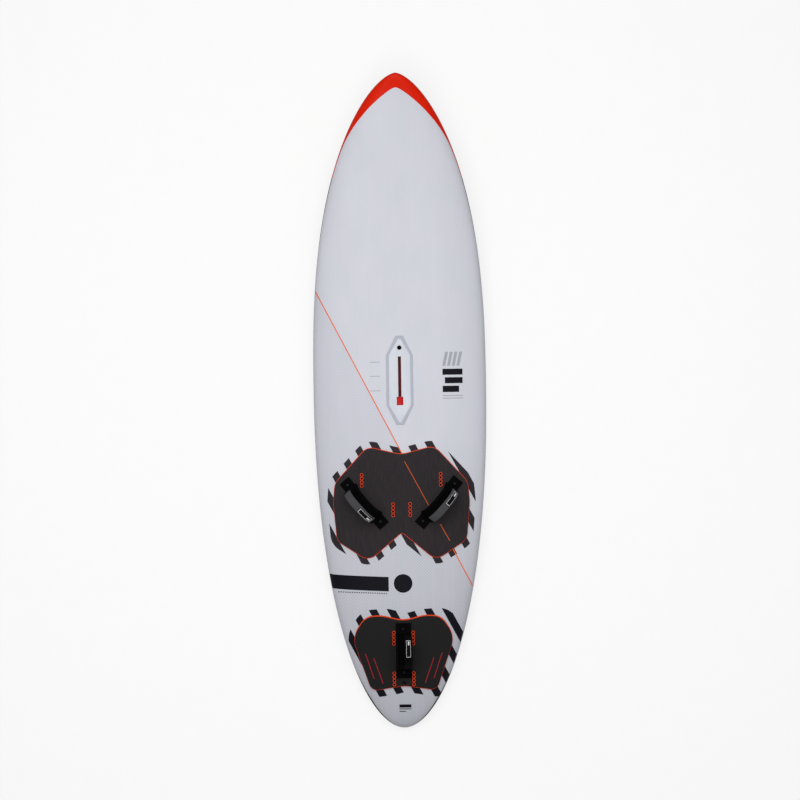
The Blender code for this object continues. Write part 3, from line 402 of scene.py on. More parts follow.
def finished(piece, material, body, stands_for=(), smooth=40.0):
    """Give a finished piece its material and its body, and hide the nodes it stands for."""
    make_active(piece)
    bpy.ops.object.transform_apply(location=True, rotation=True, scale=True)
    coat(piece, material)
    bpy.ops.object.shade_smooth_by_angle(angle=math.radians(smooth))
    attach(piece, body)
    if stands_for:
        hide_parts(*stands_for)
    return piece


def prism(name, outline, low, high, place=Matrix()):
    """A straight-sided block on a plan outline, from a circle of as many points drawn onto it."""
    bpy.ops.object.select_all(action="DESELECT")
    bpy.ops.mesh.primitive_circle_add(vertices=len(outline), radius=1.0, fill_type="NGON")
    block = bpy.context.object
    block.name = name
    for vertex, spot in zip(block.data.vertices, outline):
        vertex.co = (spot[0], spot[1], low)
    edit_all()
    bpy.ops.mesh.extrude_region_move(TRANSFORM_OT_translate={"value": (0.0, 0.0, high - low)})
    bpy.ops.mesh.select_all(action="SELECT")
    bpy.ops.mesh.normals_make_consistent(inside=False)
    end_edit()
    block.data.transform(place)
    return block


def frame_at(spot, forward, up):
    """A fitting's own frame: its place, its Y axis and its Z axis, in the board's frame."""
    up = Vector(up)
    forward = Vector(forward)
    turn = Matrix((forward.cross(up), forward, up)).transposed()
    return Matrix.Translation(spot) @ turn.to_4x4()


def six_sided(length, width, straight, end_width, grow=0.0):
    """A long six-sided outline with its ends cut square, as (x, y) going round."""
    half, end = width / 2 + grow, end_width / 2 + grow
    corner, tip = straight / 2, length / 2 + grow
    right = [(end, -tip), (half, -corner), (half, corner), (end, tip)]
    return right + [(-x, -y) for x, y in right]


def round_outline(width, length, radius, steps=6, grow=0.0):
    """A rectangle with round corners, as (x, y) going round."""
    outline = []
    for quarter, (side, end) in enumerate([(1, 1), (-1, 1), (-1, -1), (1, -1)]):
        for step in range(steps + 1):
            turn = math.pi / 2 * (quarter + step / steps)
            outline.append((
                side * (width / 2 - radius) + (radius + grow) * math.cos(turn),
                end * (length / 2 - radius) + (radius + grow) * math.sin(turn),
            ))
    return outline


TRACK_LENGTH = 0.313
TRACK_WIDTH = 0.094
TRACK_STRAIGHT = 0.176
TRACK_END_WIDTH = 0.026
TRACK_PLACE = frame_at((0.0, 0.069, 0.117184), (0.0, 0.999983, 0.005782), (0.0, -0.005782, 0.999983))
STRIP_WIDTH = 0.014
STRIP_LENGTH = 0.053
SPARE_STRIPS = [(0.138, 0.8695), (0.030, 0.765), (0.034, 0.3145), (0.034, 0.172)]
REAR_STRIP = (0.0, 0.1765)


def deck_point(along):
    """A sheet of the deck on one side of the nose's paint edge: along(edge, v) gives its rows."""
    def point(u, v):
        share = math.sin(math.pi / 2 * (2 * u - 1))
        from_tail = along(nose_paint_edge(share), v)
        x = share * crowned(paint_rise(from_tail)) * half_width(from_tail)
        return Vector((x, ahead_of_middle(from_tail), deck_height(x, from_tail)))
    return point


def track_outline(grow):
    return six_sided(TRACK_LENGTH, TRACK_WIDTH, TRACK_STRAIGHT, TRACK_END_WIDTH, grow)


deck = shell("deck_shell", [drawn_sheet("deck_shell", DECK_COLUMNS, DECK_ROWS, deck_point(behind_edge))])
pockets = [prism("track_pocket", track_outline(POCKET_GAP), -POCKET_DEPTH, POCKET_DEPTH, TRACK_PLACE)]
strip_pocket = round_outline(STRIP_WIDTH, STRIP_LENGTH, STRIP_WIDTH / 2, grow=POCKET_GAP)
strip_spots = [(side * out, from_tail) for out, from_tail in SPARE_STRIPS for side in (-1, 1)]
for x, from_tail in strip_spots + [REAR_STRIP]:
    place = Matrix.Translation((x, ahead_of_middle(from_tail), deck_height(x, from_tail)))
    pockets.append(prism("strip_pocket", strip_pocket, -STRIP_POCKET_DEPTH, STRIP_POCKET_DEPTH, place))
cut(deck, pockets)


def part_of(place, axis):
    """One of a place's three measures."""
    return place.node("ShaderNodeSeparateXYZ", {}, {"Vector": place}, output=axis)


def rising(tone, low, high, top=1.0):
    """A tone that climbs from 0 at low to top at high."""
    return tone.node("ShaderNodeMapRange", {}, {
        "Value": tone, "From Min": low, "From Max": high, "To Min": 0.0, "To Max": top})


deck_paint, deck_place = new_finish("satin_grey_paint", 0.2)
deck_x = part_of(deck_place, 0)
deck_y = part_of(deck_place, 1)
# The grey is darker towards the tail.
deck_fade = rising(deck_y, -0.75, -0.15)
deck_streak = noise(deck_place, 130.0, (1.0, 0.03, 0.05))
deck_cloud = noise(deck_place, 11.0, (1.0, 0.4, 1.0))
deck_patch = noise(deck_place, 26.0, (1.0, 0.3, 1.0), detail=1.0)
PIN_FROM = (-0.2811, 0.3646)
PIN_TO = (0.2448, -0.6547)
pin_run = Vector((PIN_TO[0] - PIN_FROM[0], PIN_TO[1] - PIN_FROM[1])).normalized()
past_pin = (deck_x - PIN_FROM[0]) * pin_run.y - (deck_y - PIN_FROM[1]) * pin_run.x > 0.0
DOT_PITCH = 0.0112
dot_columns = deck_x * (2 * math.pi / DOT_PITCH)
dot_rows = deck_y * (2 * math.pi / DOT_PITCH)
dots = dot_columns.maths("SINE", dot_columns, 0.0) * dot_rows.maths("SINE", dot_rows, 0.0) > 0.15
dot_fade = rising(deck_y, -1.0, -0.7, 0.26)
deck_base = blended(rgb(190, 191, 198), rgb(211, 212, 221), deck_fade)
deck_worked = blended(deck_base, rgb(226, 228, 234), deck_streak * 0.45)
deck_clouded = blended(deck_worked, rgb(178, 181, 191), deck_cloud * 0.32)
deck_tint = blended(rgb(194, 210, 210), rgb(222, 209, 228), deck_patch)
deck_patched = blended(deck_clouded, deck_tint, deck_cloud * 0.5)
deck_zoned = blended(deck_patched, rgb(158, 159, 173), past_pin * 0.2)
deck_dotted = blended(deck_zoned, rgb(232, 233, 240), dots * past_pin * dot_fade)
surfaced(deck_paint, deck_dotted, deck_streak * 0.2 + 0.36, noise(deck_place, 1400.0), 0.05, 0.0004)
finished(deck, deck_paint, "board", ["deck_skin"])

# The nose: the front of the deck and its rails, sprayed glossy orange-red over the same shell. The
# paint edge sweeps back along both rails in a long curve.
NOSE_SEAM_BOTTOM = 1.9774
NOSE_ROWS = 60
SIDE_COLUMNS = 16
SEAM_SHARE = 0.75


def tuck_width(from_tail):
    """How far the rail tucks in under the seam."""
    wide = max(0.013 * min((from_tail - 0.15) / 1.25, 1.0), 0.003)
    return min(wide, 0.12 * half_width(from_tail))


def rail_spot(side, turn, from_tail, lift=0.0):
    """A place on the tucked rail: turn 0 at the seam, a quarter turn at the edge of the bottom."""
    tuck = tuck_width(from_tail)
    low = thickness(from_tail) * RAIL_SHARE
    x = half_width(from_tail) - tuck + tuck * math.cos(turn)
    z = bottom_height(from_tail) + low * (1 - math.sin(turn))
    steep = Vector((low * math.cos(turn), -tuck * math.sin(turn)))
    if lift and steep.length > 0:
        x += lift * steep.x / steep.length
        z += lift * steep.y / steep.length
    return Vector((side * x, ahead_of_middle(from_tail), z))


def side_spot(side, share, from_tail):
    """A place on the board's side: share 0 at the edge of the bottom, 1 where the deck colour starts."""
    if share <= SEAM_SHARE:
        return rail_spot(side, math.pi / 2 * (1 - share / SEAM_SHARE), from_tail)
    rise = paint_rise(from_tail) * (share - SEAM_SHARE) / (1 - SEAM_SHARE)
    x = half_width(from_tail) * crowned(rise)
    return Vector((side * x, ahead_of_middle(from_tail), above_seam(rise, from_tail)))


def ahead_of_edge(edge, share):
    """Rows from a paint edge to the tip of the nose, closing up towards the tip."""
    return edge + (BOARD_LENGTH - edge) * math.sin(math.pi / 2 * share)


def side_point(side, along):
    """A sheet of the board's side, ahead of or behind the paint edge that leans from seam to bottom."""
    def point(u, v):
        share = u if side > 0 else 1 - u
        edge = NOSE_PAINT_SEAM + (NOSE_SEAM_BOTTOM - NOSE_PAINT_SEAM) * (1 - share)
        return side_spot(side, share, along(edge, v))
    return point


def flipped(sheet):
    """Turn a sheet's faces to its other side."""
    make_active(sheet)
    edit_all()
    bpy.ops.mesh.flip_normals()
    end_edit()
    return sheet


def side_sheets(name, rows, along):
    return [flipped(drawn_sheet(name, SIDE_COLUMNS, rows, side_point(side, along))) for side in (-1, 1)]


nose_sheets = [drawn_sheet("nose_deck", DECK_COLUMNS, NOSE_ROWS, deck_point(ahead_of_edge))]
nose = shell("nose_shell", nose_sheets + side_sheets("nose_rail", NOSE_ROWS, ahead_of_edge))
nose_paint, nose_place = new_finish("glossy_orange_red_paint", 0.08)
nose_cloud = noise(nose_place, 14.0)
nose_fleck = noise(nose_place, 900.0)
nose_base = blended(rgb(216, 26, 0), rgb(230, 40, 2), nose_cloud)
nose_flecked = blended(nose_base, rgb(198, 14, 0), nose_fleck * 0.3)
surfaced(nose_paint, nose_flecked, nose_cloud * 0.12 + 0.26, nose_fleck, 0.04, 0.0003)
finished(nose, nose_paint, "board")

# The bottom shell: the flat white underside, laid up in the lower half of the mould and polished. It is
# cut away for one long fin box on the centre line and a shorter one on each side.
BOTTOM_COLUMNS = 64
BOTTOM_ROWS = 260
CENTRE_BOX = dict(length=0.249, width=0.049, straight=0.139, end_width=0.014)
CENTRE_BOX_PLACE = frame_at(
    (0.0, -0.982, 0.006083), (0.0, 0.999809, -0.019539), (0.0, -0.019539, -0.999809))
SIDE_BOX_LENGTH = 0.160
SIDE_BOX_WIDTH = 0.038
SIDE_BOX_CORNER = 0.005


def side_box_place(side):
    return frame_at(
        (side * 0.153, -0.799, 0.002955), (0.0, 0.999918, -0.012819), (0.0, -0.012819, -0.999918))


def bottom_point(u, v):
    across = math.sin(math.pi / 2 * (1 - 2 * u))
    from_tail = behind_edge(BOARD_LENGTH, v)
    flat = half_width(from_tail) - tuck_width(from_tail)
    return Vector((across * flat, ahead_of_middle(from_tail), bottom_height(from_tail)))


bottom = shell("bottom_shell", [drawn_sheet("bottom_shell", BOTTOM_COLUMNS, BOTTOM_ROWS, bottom_point)])
side_pocket = round_outline(SIDE_BOX_WIDTH, SIDE_BOX_LENGTH, SIDE_BOX_CORNER, grow=POCKET_GAP)
fin_pockets = []
for outline, place in ((six_sided(**CENTRE_BOX, grow=POCKET_GAP), CENTRE_BOX_PLACE),
                       (side_pocket, side_box_place(-1)), (side_pocket, side_box_place(1))):
    fin_pockets.append(prism("fin_pocket", outline, -POCKET_DEPTH, POCKET_DEPTH, place))
cut(bottom, fin_pockets)
white_paint, white_place = new_finish("polished_white_paint", 0.35)
white_rub = noise(white_place, 170.0, (1.0, 0.02, 0.05))
white_cloud = noise(white_place, 7.0)
white_base = blended(rgb(238, 239, 242), rgb(247, 248, 250), white_cloud)
white_rubbed = blended(white_base, rgb(226, 228, 233), white_rub * 0.3)
surfaced(white_paint, white_rubbed, white_rub * 0.15 + 0.24, noise(white_place, 1500.0), 0.04, 0.0003)
finished(bottom, white_paint, "board", ["bottom_skin"])

# The rails: the sides of the lower shell, turned up to the seam and sprayed gloss black from the tail to
# the nose colour. They take the knocks, so the black is dulled in places.
RAIL_ROWS = 220
rails = shell("black_rails", side_sheets("rail", RAIL_ROWS, behind_edge))
rail_paint, rail_place = new_finish("gloss_black_paint", 0.10)
rail_scuff = noise(rail_place, 60.0, (1.0, 0.12, 1.0), detail=6.0)
rail_black = blended(rgb(7, 7, 10), rgb(20, 20, 25), rail_scuff)
surfaced(rail_paint, rail_black, rail_scuff * 0.3 + 0.2, noise(rail_place, 1200.0), 0.05, 0.0003)
finished(rails, rail_paint, "board")

# Printed bands and stripes: thin films of ink and vinyl laid on the paint before the last clear coat.
# Slanted dark stripes frame both pads, a fine orange line crosses the deck and another the bottom.
FILM = 0.0003
FILM_LIFT = 0.00025
REAR_STRIPE_LIFT = 0.0006
LINE_LIFT = 0.0005
FINE_STEP = 0.0005
FILM_CELL = 0.010
PIN_WIDTH = 0.0034
STRIPE_TURN = math.radians(28.0)
STRIPE_PERIOD = 0.057
STRIPE_START = 0.0165
STRIPE_HALF = 0.0128
STRIPE_REACH = 0.021
STRIPE_UNDER = 0.006
STRIPE_POINTS = 320
STRIPE_COLUMNS = 16
STRIPE_CLEAR = 0.988
RAIL_CLEAR = 0.995
FRONT_PAD = dict(from_tail=0.790, heart=0.030, wider=0.0, corners=[
    (0.0, 0.170, 0.090), (0.118, 0.199, 0.045), (0.234, 0.072, 0.060), (0.240, 0.0, 0.150),
    (0.228, -0.133, 0.045), (0.118, -0.206, 0.045), (0.0, -0.106, 0.012)])
REAR_PAD = dict(from_tail=0.260, heart=0.0, wider=0.022, corners=[
    (0.0, 0.117, 0.120), (0.075, 0.136, 0.150), (0.133, 0.133, 0.086), (0.181, 0.0615, 0.086),
    (0.114, -0.131, 0.030), (0.0, -0.114, 0.150)])


def slope(height, x, from_tail):
    """How steeply a height climbs, across the board and along it."""
    across = height(x + FINE_STEP, from_tail) - height(x - FINE_STEP, from_tail)
    along = height(x, from_tail + FINE_STEP) - height(x, from_tail - FINE_STEP)
    return across / (2 * FINE_STEP), along / (2 * FINE_STEP)


def on_deck(x, from_tail, lift):
    """A place on the deck, lifted square off its surface."""
    half = half_width(from_tail) - 2 * FINE_STEP
    x = max(-half, min(half, x))
    across, along = slope(deck_height, x, from_tail)
    up = Vector((-across, -along, 1.0)).normalized()
    return Vector((x, ahead_of_middle(from_tail), deck_height(x, from_tail))) + up * lift


def on_bottom(x, from_tail, lift):
    """A place on the flat of the bottom, lifted square off it."""
    flat = half_width(from_tail) - tuck_width(from_tail)
    x = max(-flat, min(flat, x))
    along = slope(lambda x, from_tail: bottom_height(from_tail), x, from_tail)[1]
    down = Vector((0.0, along, -1.0)).normalized()
    return Vector((x, ahead_of_middle(from_tail), bottom_height(from_tail))) + down * lift


def laid(sheet, surface, lift):
    """Lay a sheet drawn in plan onto a surface and give it a film's thickness."""
    for vertex in sheet.data.vertices:
        vertex.co = surface(vertex.co.x, vertex.co.y + BOARD_LENGTH / 2, lift)
    if surface is on_bottom:
        flipped(sheet)
    return thicken(sheet, FILM)


def patch(corners, surface):
    """A film with straight edges: a grid in plan, trimmed along each edge and laid on a surface."""
    lows = [min(corner[axis] for corner in corners) for axis in (0, 1)]
    highs = [max(corner[axis] for corner in corners) for axis in (0, 1)]
    counts = [max(1, math.ceil((high - low) / FILM_CELL)) for low, high in zip(lows, highs)]
    film = drawn_sheet("film", counts[0], counts[1], lambda u, v: Vector((
        lows[0] + u * (highs[0] - lows[0]), lows[1] + v * (highs[1] - lows[1]), 0.0)))
    edges = list(zip(corners, corners[1:] + corners[:1]))
    turning = sum(a[0] * b[1] - b[0] * a[1] for a, b in edges)
    for start, end in edges:
        edit_all()
        outward = Vector((end[1] - start[1], start[0] - end[0], 0.0)) * math.copysign(1.0, turning)
        bpy.ops.mesh.bisect(plane_co=(*start, 0.0), plane_no=outward, clear_outer=True, threshold=1e-7)
    end_edit()
    return laid(film, surface, FILM_LIFT)


def line(start, end, width, surface, lift=FILM_LIFT):
    """A straight printed line of even width, drawn along its run."""
    start, end = Vector((*start, 0.0)), Vector((*end, 0.0))
    across = Vector((0.0, 0.0, 1.0)).cross(end - start).normalized() * width
    count = max(1, math.ceil((end - start).length / FILM_CELL))
    film = drawn_sheet("film", 2, count, lambda u, v: start.lerp(end, v) + across * (0.5 - u))
    return laid(film, surface, lift)


def bars(surface, boxes):
    """Square-cut films, each given by its left and right edge and its rear and front one."""
    return [patch([(left, low), (right, low), (right, high), (left, high)], surface)
            for left, right, low, high in boxes]


def pad_outline(pad, count):
    """A pad's edge in plan with its corners rounded, as evenly spaced points from its front notch."""
    middle = ahead_of_middle(pad["from_tail"])
    right = [(x, middle + y, radius) for x, y, radius in pad["corners"]]
    corners = right + [(-x, y, radius) for x, y, radius in right[-2:0:-1]]
    edge = []
    for index, (x, y, radius) in enumerate(corners):
        here = Vector((x, y))
        before = Vector(corners[index - 1][:2]) - here
        after = Vector(corners[(index + 1) % len(corners)][:2]) - here
        opening = before.angle(after) / 2
        reach = min(radius / math.tan(opening), 0.48 * before.length, 0.48 * after.length)
        radius = reach * math.tan(opening)
        before.normalize()
        after.normalize()
        centre = here + (before + after).normalized() * (radius / math.sin(opening))
        start, end = here + before * reach - centre, here + after * reach - centre
        sweep = math.pi - 2 * opening
        for step in range(13):
            share = step / 12
            way = start * math.sin((1 - share) * sweep) + end * math.sin(share * sweep)
            edge.append(centre + way / math.sin(sweep))
    half = len(edge) // len(corners) // 2
    edge = edge[half:] + edge[:half + 1]
    lengths = [0.0]
    for a, b in zip(edge, edge[1:]):
        lengths.append(lengths[-1] + (b - a).length)
    outline = []
    index = 0
    for step in range(count):
        want = lengths[-1] * step / count
        while lengths[index + 1] < want:
            index += 1
        span = max(lengths[index + 1] - lengths[index], 1e-9)
        outline.append(edge[index].lerp(edge[index + 1], (want - lengths[index]) / span))
    return outline


def grown(outline, reach, more=(0.0, 0.0)):
    """An outline moved outwards by reach, and by more where it faces right or forwards."""
    moved = []
    for index, spot in enumerate(outline):
        run = (outline[(index + 1) % len(outline)] - outline[index - 1]).normalized()
        out = Vector((-run.y, run.x))
        moved.append(spot + out * (reach + max(out.x, 0.0) * more[0] + max(out.y, 0.0) * more[1]))
    return moved


def pad_stripes(pad, lift):
    """The frame of slanted stripes round a pad: a ring in plan, cut along each stripe, the rest deleted."""
    inner = grown(pad_outline(pad, STRIPE_POINTS), -STRIPE_UNDER)
    outer = grown(pad_outline(pad, STRIPE_POINTS), STRIPE_REACH, (pad["wider"], 0.0))

    def ring_point(u, v):
        index = round(u * STRIPE_POINTS) % STRIPE_POINTS
        spot = inner[index].lerp(outer[index], v)
        half = half_width(spot.y + BOARD_LENGTH / 2) * STRIPE_CLEAR
        return Vector((max(-half, min(half, spot.x)), spot.y, 0.0))

    ring = drawn_sheet("stripe_ring", STRIPE_POINTS, STRIPE_COLUMNS, ring_point)
    close_seams(ring, outward=False)
    across = Vector((math.cos(STRIPE_TURN), math.sin(STRIPE_TURN), 0.0))
    places = [vertex.co.dot(across) for vertex in ring.data.vertices]
    first = math.floor((min(places) - STRIPE_START) / STRIPE_PERIOD)
    last = math.ceil((max(places) - STRIPE_START) / STRIPE_PERIOD)
    for stripe in range(first, last + 1):
        for edge in (-STRIPE_HALF, STRIPE_HALF):
            edit_all()
            bpy.ops.mesh.bisect(
                plane_co=across * (STRIPE_START + stripe * STRIPE_PERIOD + edge), plane_no=across)
    bpy.ops.mesh.select_all(action="DESELECT")
    bpy.ops.mesh.select_mode(type="FACE")
    end_edit()
    for face in ring.data.polygons:
        past = (face.center.dot(across) - STRIPE_START + STRIPE_PERIOD / 2) % STRIPE_PERIOD
        face.select = abs(past - STRIPE_PERIOD / 2) > STRIPE_HALF
    bpy.ops.object.mode_set(mode="EDIT")
    bpy.ops.mesh.delete(type="FACE")
    bpy.ops.mesh.select_mode(type="VERT")
    end_edit()
    if sum(face.normal.z for face in ring.data.polygons) < 0:
        flipped(ring)
    return laid(ring, on_deck, lift)


def printed(name, dark, light, roughness):
    """A film's finish: two near tones in fine speckle, a little uneven in its gloss."""
    material, place = new_finish(name, 0.06)
    speckle = noise(place, 420.0)
    colour = blended(dark, light, speckle)
    return surfaced(material, colour, speckle * 0.2 + roughness, noise(place, 1600.0), 0.04, 0.0003)


def inked(name, films, ink):
    """Join films of one ink into a finished piece of the board."""
    finished(joined(name, films), ink, "board")


DISC_SPOT = (0.0013, -0.6442)
DISC_RADIUS = 0.0327
BAND_INNER = -0.0493
BAND_SLANT = (-0.6052, -0.6207)
BAND_DEEP = 0.0507


def band_spot(u, v):
    """The dark band ahead of the rear pad, from the left rail to near the middle on a slight slant."""
    y = BAND_SLANT[0] + (BAND_SLANT[1] - BAND_SLANT[0]) * u - BAND_DEEP * (1 - v)
    edge = -RAIL_CLEAR * half_width(y + BOARD_LENGTH / 2)
    return Vector((edge + (BAND_INNER - edge) * u ** 1.7, y, 0.0))


def run_out(spot, way):
    """Carry a spot on along a way until it meets the rail."""
    while abs(spot.x) < RAIL_CLEAR * half_width(spot.y + BOARD_LENGTH / 2):
        spot = spot + way * FINE_STEP
    return spot


stripe_ink = printed("stripe_ink", rgb(38, 35, 39), rgb(52, 48, 52), 0.4)
inked("front_stripes_dark", [pad_stripes(FRONT_PAD, FILM_LIFT)], stripe_ink)
dark_films = [pad_stripes(REAR_PAD, REAR_STRIPE_LIFT)]
dark_films.append(laid(drawn_sheet("band", 36, 6, band_spot), on_deck, FILM_LIFT))
dark_films.append(patch([
    (DISC_SPOT[0] + DISC_RADIUS * math.cos(math.pi * step / 20),
     DISC_SPOT[1] + DISC_RADIUS * math.sin(math.pi * step / 20)) for step in range(40)], on_deck))
for dot in range(22):
    left, slant = -0.226 + dot * 0.0079, dot * 0.0004
    dark_films += bars(on_deck, [(left, left + 0.0042, -0.6722 - slant, -0.6686 - slant)])
dark_films += bars(on_deck, [
    (-0.0179, 0.0242, -1.0800, -1.0690), (-0.0179, 0.0242, -1.0862, -1.0835),
    (-0.0179, 0.0048, -1.0948, -1.0922), (0.1505, 0.2207, 0.0862, 0.1072),
    (0.1585, 0.2207, 0.0563, 0.0774), (0.1505, 0.2080, 0.0255, 0.0475)])
dark_ink = printed("dark_ink", rgb(11, 11, 18), rgb(20, 20, 29), 0.4)
inked("deck_bands_dark", dark_films, dark_ink)

pin_ends = run_out(Vector(PIN_FROM), -pin_run), run_out(Vector(PIN_TO), pin_run)
pin_line = line(*pin_ends, PIN_WIDTH, on_deck, LINE_LIFT)
inked("deck_line_orange", [pin_line], printed("orange_ink", rgb(233, 96, 40), rgb(246, 118, 62), 0.35))


def slanted(left, rear, front, width, lean, surface):
    """A short slanted stroke: its left end, its rear and front edges, its width and its lean."""
    far = left + lean
    return patch([(left, rear), (left + width, rear), (far + width, front), (far, front)], surface)


grey_films = [slanted(0.1505 + stroke * 0.0165, 0.1178, 0.1669, 0.0100, 0.0105, on_deck)
              for stroke in range(4)]
grey_films += bars(on_deck, [(0.1505, 0.2207, rear, rear + 0.0028) for rear in (0.0026, 0.0116)])
grey_films += bars(on_deck, [
    (-0.1050, -0.0680, tick - 0.0011, tick + 0.0011) for tick in (0.1339, 0.0844, 0.0332)])
inked("deck_bars_grey", grey_films, printed("grey_ink", rgb(160, 162, 171), rgb(176, 178, 187), 0.4))

BOTTOM_PIN = ((0.2779, 0.3706), (-0.2658, -0.5247))
amber_ink = printed("amber_ink", rgb(232, 104, 14), rgb(244, 122, 30), 0.35)
inked("bottom_line_orange", [line(*BOTTOM_PIN, PIN_WIDTH, on_bottom, LINE_LIFT)], amber_ink)
bottom_films = bars(on_bottom, [
    (-0.0267, 0.2700, 0.6866, 0.7547), (-0.053, 0.031, -0.556, -0.546), (-0.008, 0.031, -0.573, -0.563)])
inked("bottom_bands_dark", bottom_films, dark_ink)
HATCH_LINES = 30
HATCH_PITCH = 0.0105
HATCH_WIDTH = 0.0027
hatch_lean = (BOTTOM_PIN[1][0] - BOTTOM_PIN[0][0]) / (BOTTOM_PIN[1][1] - BOTTOM_PIN[0][1])
hatch_films = []
for row in range(HATCH_LINES):
    x = 0.150 - row * HATCH_PITCH
    for front, rear in ((-0.175, -0.270), (-0.285, -0.380), (-0.395, -0.490)):
        ends = (x, front), (x + hatch_lean * (rear - front), rear)
        hatch_films.append(line(*ends, HATCH_WIDTH, on_bottom))
for stroke in range(3):
    hatch_films.append(slanted(-0.046 + stroke * 0.012, -0.592, -0.563, 0.007, -0.006, on_bottom))
hatch_ink = printed("pale_grey_ink", rgb(186, 188, 194), rgb(200, 202, 208), 0.4)
inked("bottom_hatch_grey", hatch_films, hatch_ink)


def rail_film(turns, start, end, slant=0.0):
    """A film on the left rail between two turns of the tuck, in degrees, and two places along it."""
    low, high = (math.radians(turn) for turn in turns)

    def point(u, v):
        return rail_spot(-1, low + (high - low) * u, start + (end - start) * v + slant * u, FILM_LIFT)
    return thicken(flipped(drawn_sheet("rail_film", 6, 8, point)), FILM)


inked("rail_mark_orange", [rail_film((18.5, 42.9), 0.959, 1.008)], amber_ink)
rail_bars = []
for step in range(20):
    start = 0.580 + step * 0.0088
    rail_bars.append(rail_film((18.5, 38.0), start, start + 0.0045, 0.006))
rail_bars += [rail_film((16.0, 42.0), start, start + 0.012) for start in (1.016, 1.034)]
inked("rail_hatch_grey", rail_bars, printed("rail_grey_ink", rgb(176, 178, 186), rgb(196, 198, 206), 0.4))
white_bars = [rail_film((20.0, 36.0), start, end) for start, end in (
    (0.786, 0.803), (0.808, 0.836), (0.842, 0.858), (0.864, 0.892), (0.898, 0.915), (0.920, 0.950))]
inked("rail_bars_white", white_bars, printed("rail_white_ink", rgb(216, 217, 220), rgb(232, 233, 236), 0.4))

# The mast track: a long six-sided white moulding bonded into the deck, with a raised rim and a slot down
# the middle. A red channel under the slot takes the nut of the mast foot.
RIM_WIDTH = 0.0095
RIM_HEIGHT = 0.0008
RIM_SUNK = 0.0006


def eased(piece, width, angle):
    """Ease the edges that turn by more than an angle, as a mould does."""
    return modify(piece, "BEVEL", width=width, segments=2, limit_method="ANGLE",
                  angle_limit=math.radians(angle))


def eased_copy(node, name, width):
    """A copy of a CAD node with its loose triangles merged and its edges eased."""
    piece = bpy.data.objects.new(name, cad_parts[node].data.copy())
    bpy.context.collection.objects.link(piece)
    make_active(piece)
    bpy.ops.mesh.customdata_custom_splitnormals_clear()
    edit_all()
    bpy.ops.mesh.remove_doubles(threshold=1e-6)
    bpy.ops.mesh.dissolve_limited(angle_limit=math.radians(1.0))
    end_edit()
    return eased(piece, width, 35.0)


def moulded(name, dark, light, roughness, grain=700.0, relief=0.08, shine=0.2):
    """Moulded plastic: a fine spark-eroded grain, cloudy where the melt flowed, scuffed here and there."""
    material, place = new_finish(name, shine)
    flow = noise(place, 45.0)
    pits = noise(place, grain, detail=5.0)
    colour = blended(dark, light, flow * 0.7 + pits * 0.3)
    return surfaced(material, colour, pits * 0.25 + roughness, pits, relief, 0.0005)


white_plastic = moulded("white_moulding", rgb(206, 210, 220), rgb(222, 225, 232), 0.38)
# The rim's darker grey is painted shade.
painted_shade_rim = moulded("rim_painted_shade_grey", rgb(172, 177, 189), rgb(186, 190, 201), 0.42)
slot_plastic = moulded("dark_red_moulding", rgb(104, 2, 12), rgb(130, 8, 18), 0.4)
red_plastic = moulded("bright_red_moulding", rgb(176, 6, 14), rgb(200, 16, 24), 0.3)
black_plastic = moulded("black_moulding", rgb(7, 7, 9), rgb(17, 17, 19), 0.4, shine=0.12)
deep_black = moulded("deep_black_moulding", rgb(1, 1, 2), rgb(5, 5, 6), 0.55, shine=0.03)
finished(eased_copy("mast_track_box", "mast_track_moulding", 0.0006), white_plastic, "board",
         ["mast_track_box"])
# The rim is coloured a darker grey than the moulding: painted shade standing in for the shade on a sloped
# edge.
track_rim = prism("mast_track_rim", track_outline(-RIM_SUNK), -RIM_SUNK, RIM_HEIGHT, TRACK_PLACE)
cut(track_rim, [prism("rim_inside", track_outline(-RIM_WIDTH), -0.01, 0.01, TRACK_PLACE)])
finished(eased(track_rim, 0.0004, 50.0), painted_shade_rim, "board")
coat(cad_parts["mast_track_rail"], slot_plastic)

# The end plug: a red stopper pressed into the entry of the slot, barrelled on top, with three finger
# ribs to lift it out by.
PLUG_LENGTH = 0.029
PLUG_WIDTH = 0.0225
PLUG_CAP = 0.004
PLUG_STEM = 0.012
PLUG_CROWN = 0.0022
PLUG_RIB = 0.0005
PLUG_GAP = 0.0003
PLUG_PLACE = TRACK_PLACE @ Matrix.Translation((0.0, -0.058 - PLUG_LENGTH / 2, 0.0))


def plug_point(u, v):
    across, along = 2 * u - 1, 2 * v - 1
    edge = (1 - abs(across) ** 6) * (1 - abs(along) ** 8)
    rib = PLUG_RIB * math.cos(along * 3 * math.pi) if abs(along) < 0.85 else 0.0
    crown = PLUG_CROWN * (1 - across ** 2) + rib
    return PLUG_PLACE @ Vector((
        across * PLUG_WIDTH / 2, along * (PLUG_LENGTH - PLUG_GAP) / 2, -0.0009 + (crown + 0.0004) * edge))


plug_cap = thicken(drawn_sheet("track_plug", 28, 40, plug_point), PLUG_CAP - 0.001)
plug_stem = prism("plug_stem", round_outline(0.0189, 0.0164, 0.002), -PLUG_STEM, -0.002, PLUG_PLACE)
finished(joined("track_plug", [plug_cap, plug_stem]), red_plastic, "track_end_plug",
         ["track_end_plug"])

# The vent: a black screw with a coin slot, on a rubber ring in a turned housing. It lets the air in the
# core even out with the air outside, and sits in the front end of the mast track moulding.
VENT_PLACE = TRACK_PLACE @ Matrix.Translation((0.0, 0.115, 0.0))


def turned(name, profile, sides, place):
    """A turned solid: (radius, height) pairs spun round a frame's Z axis; a third value counts flats."""
    def point(u, v):
        radius, height, flats = (*profile[round(v * (len(profile) - 1))], 0)[:3]
        turn = 2 * math.pi * u
        if flats:
            step = 2 * math.pi / flats
            radius = radius / math.cos(turn % step - step / 2)
        return place @ Vector((radius * math.cos(turn), radius * math.sin(turn), height))
    return close_seams(drawn_sheet(name, sides, len(profile) - 1, point))


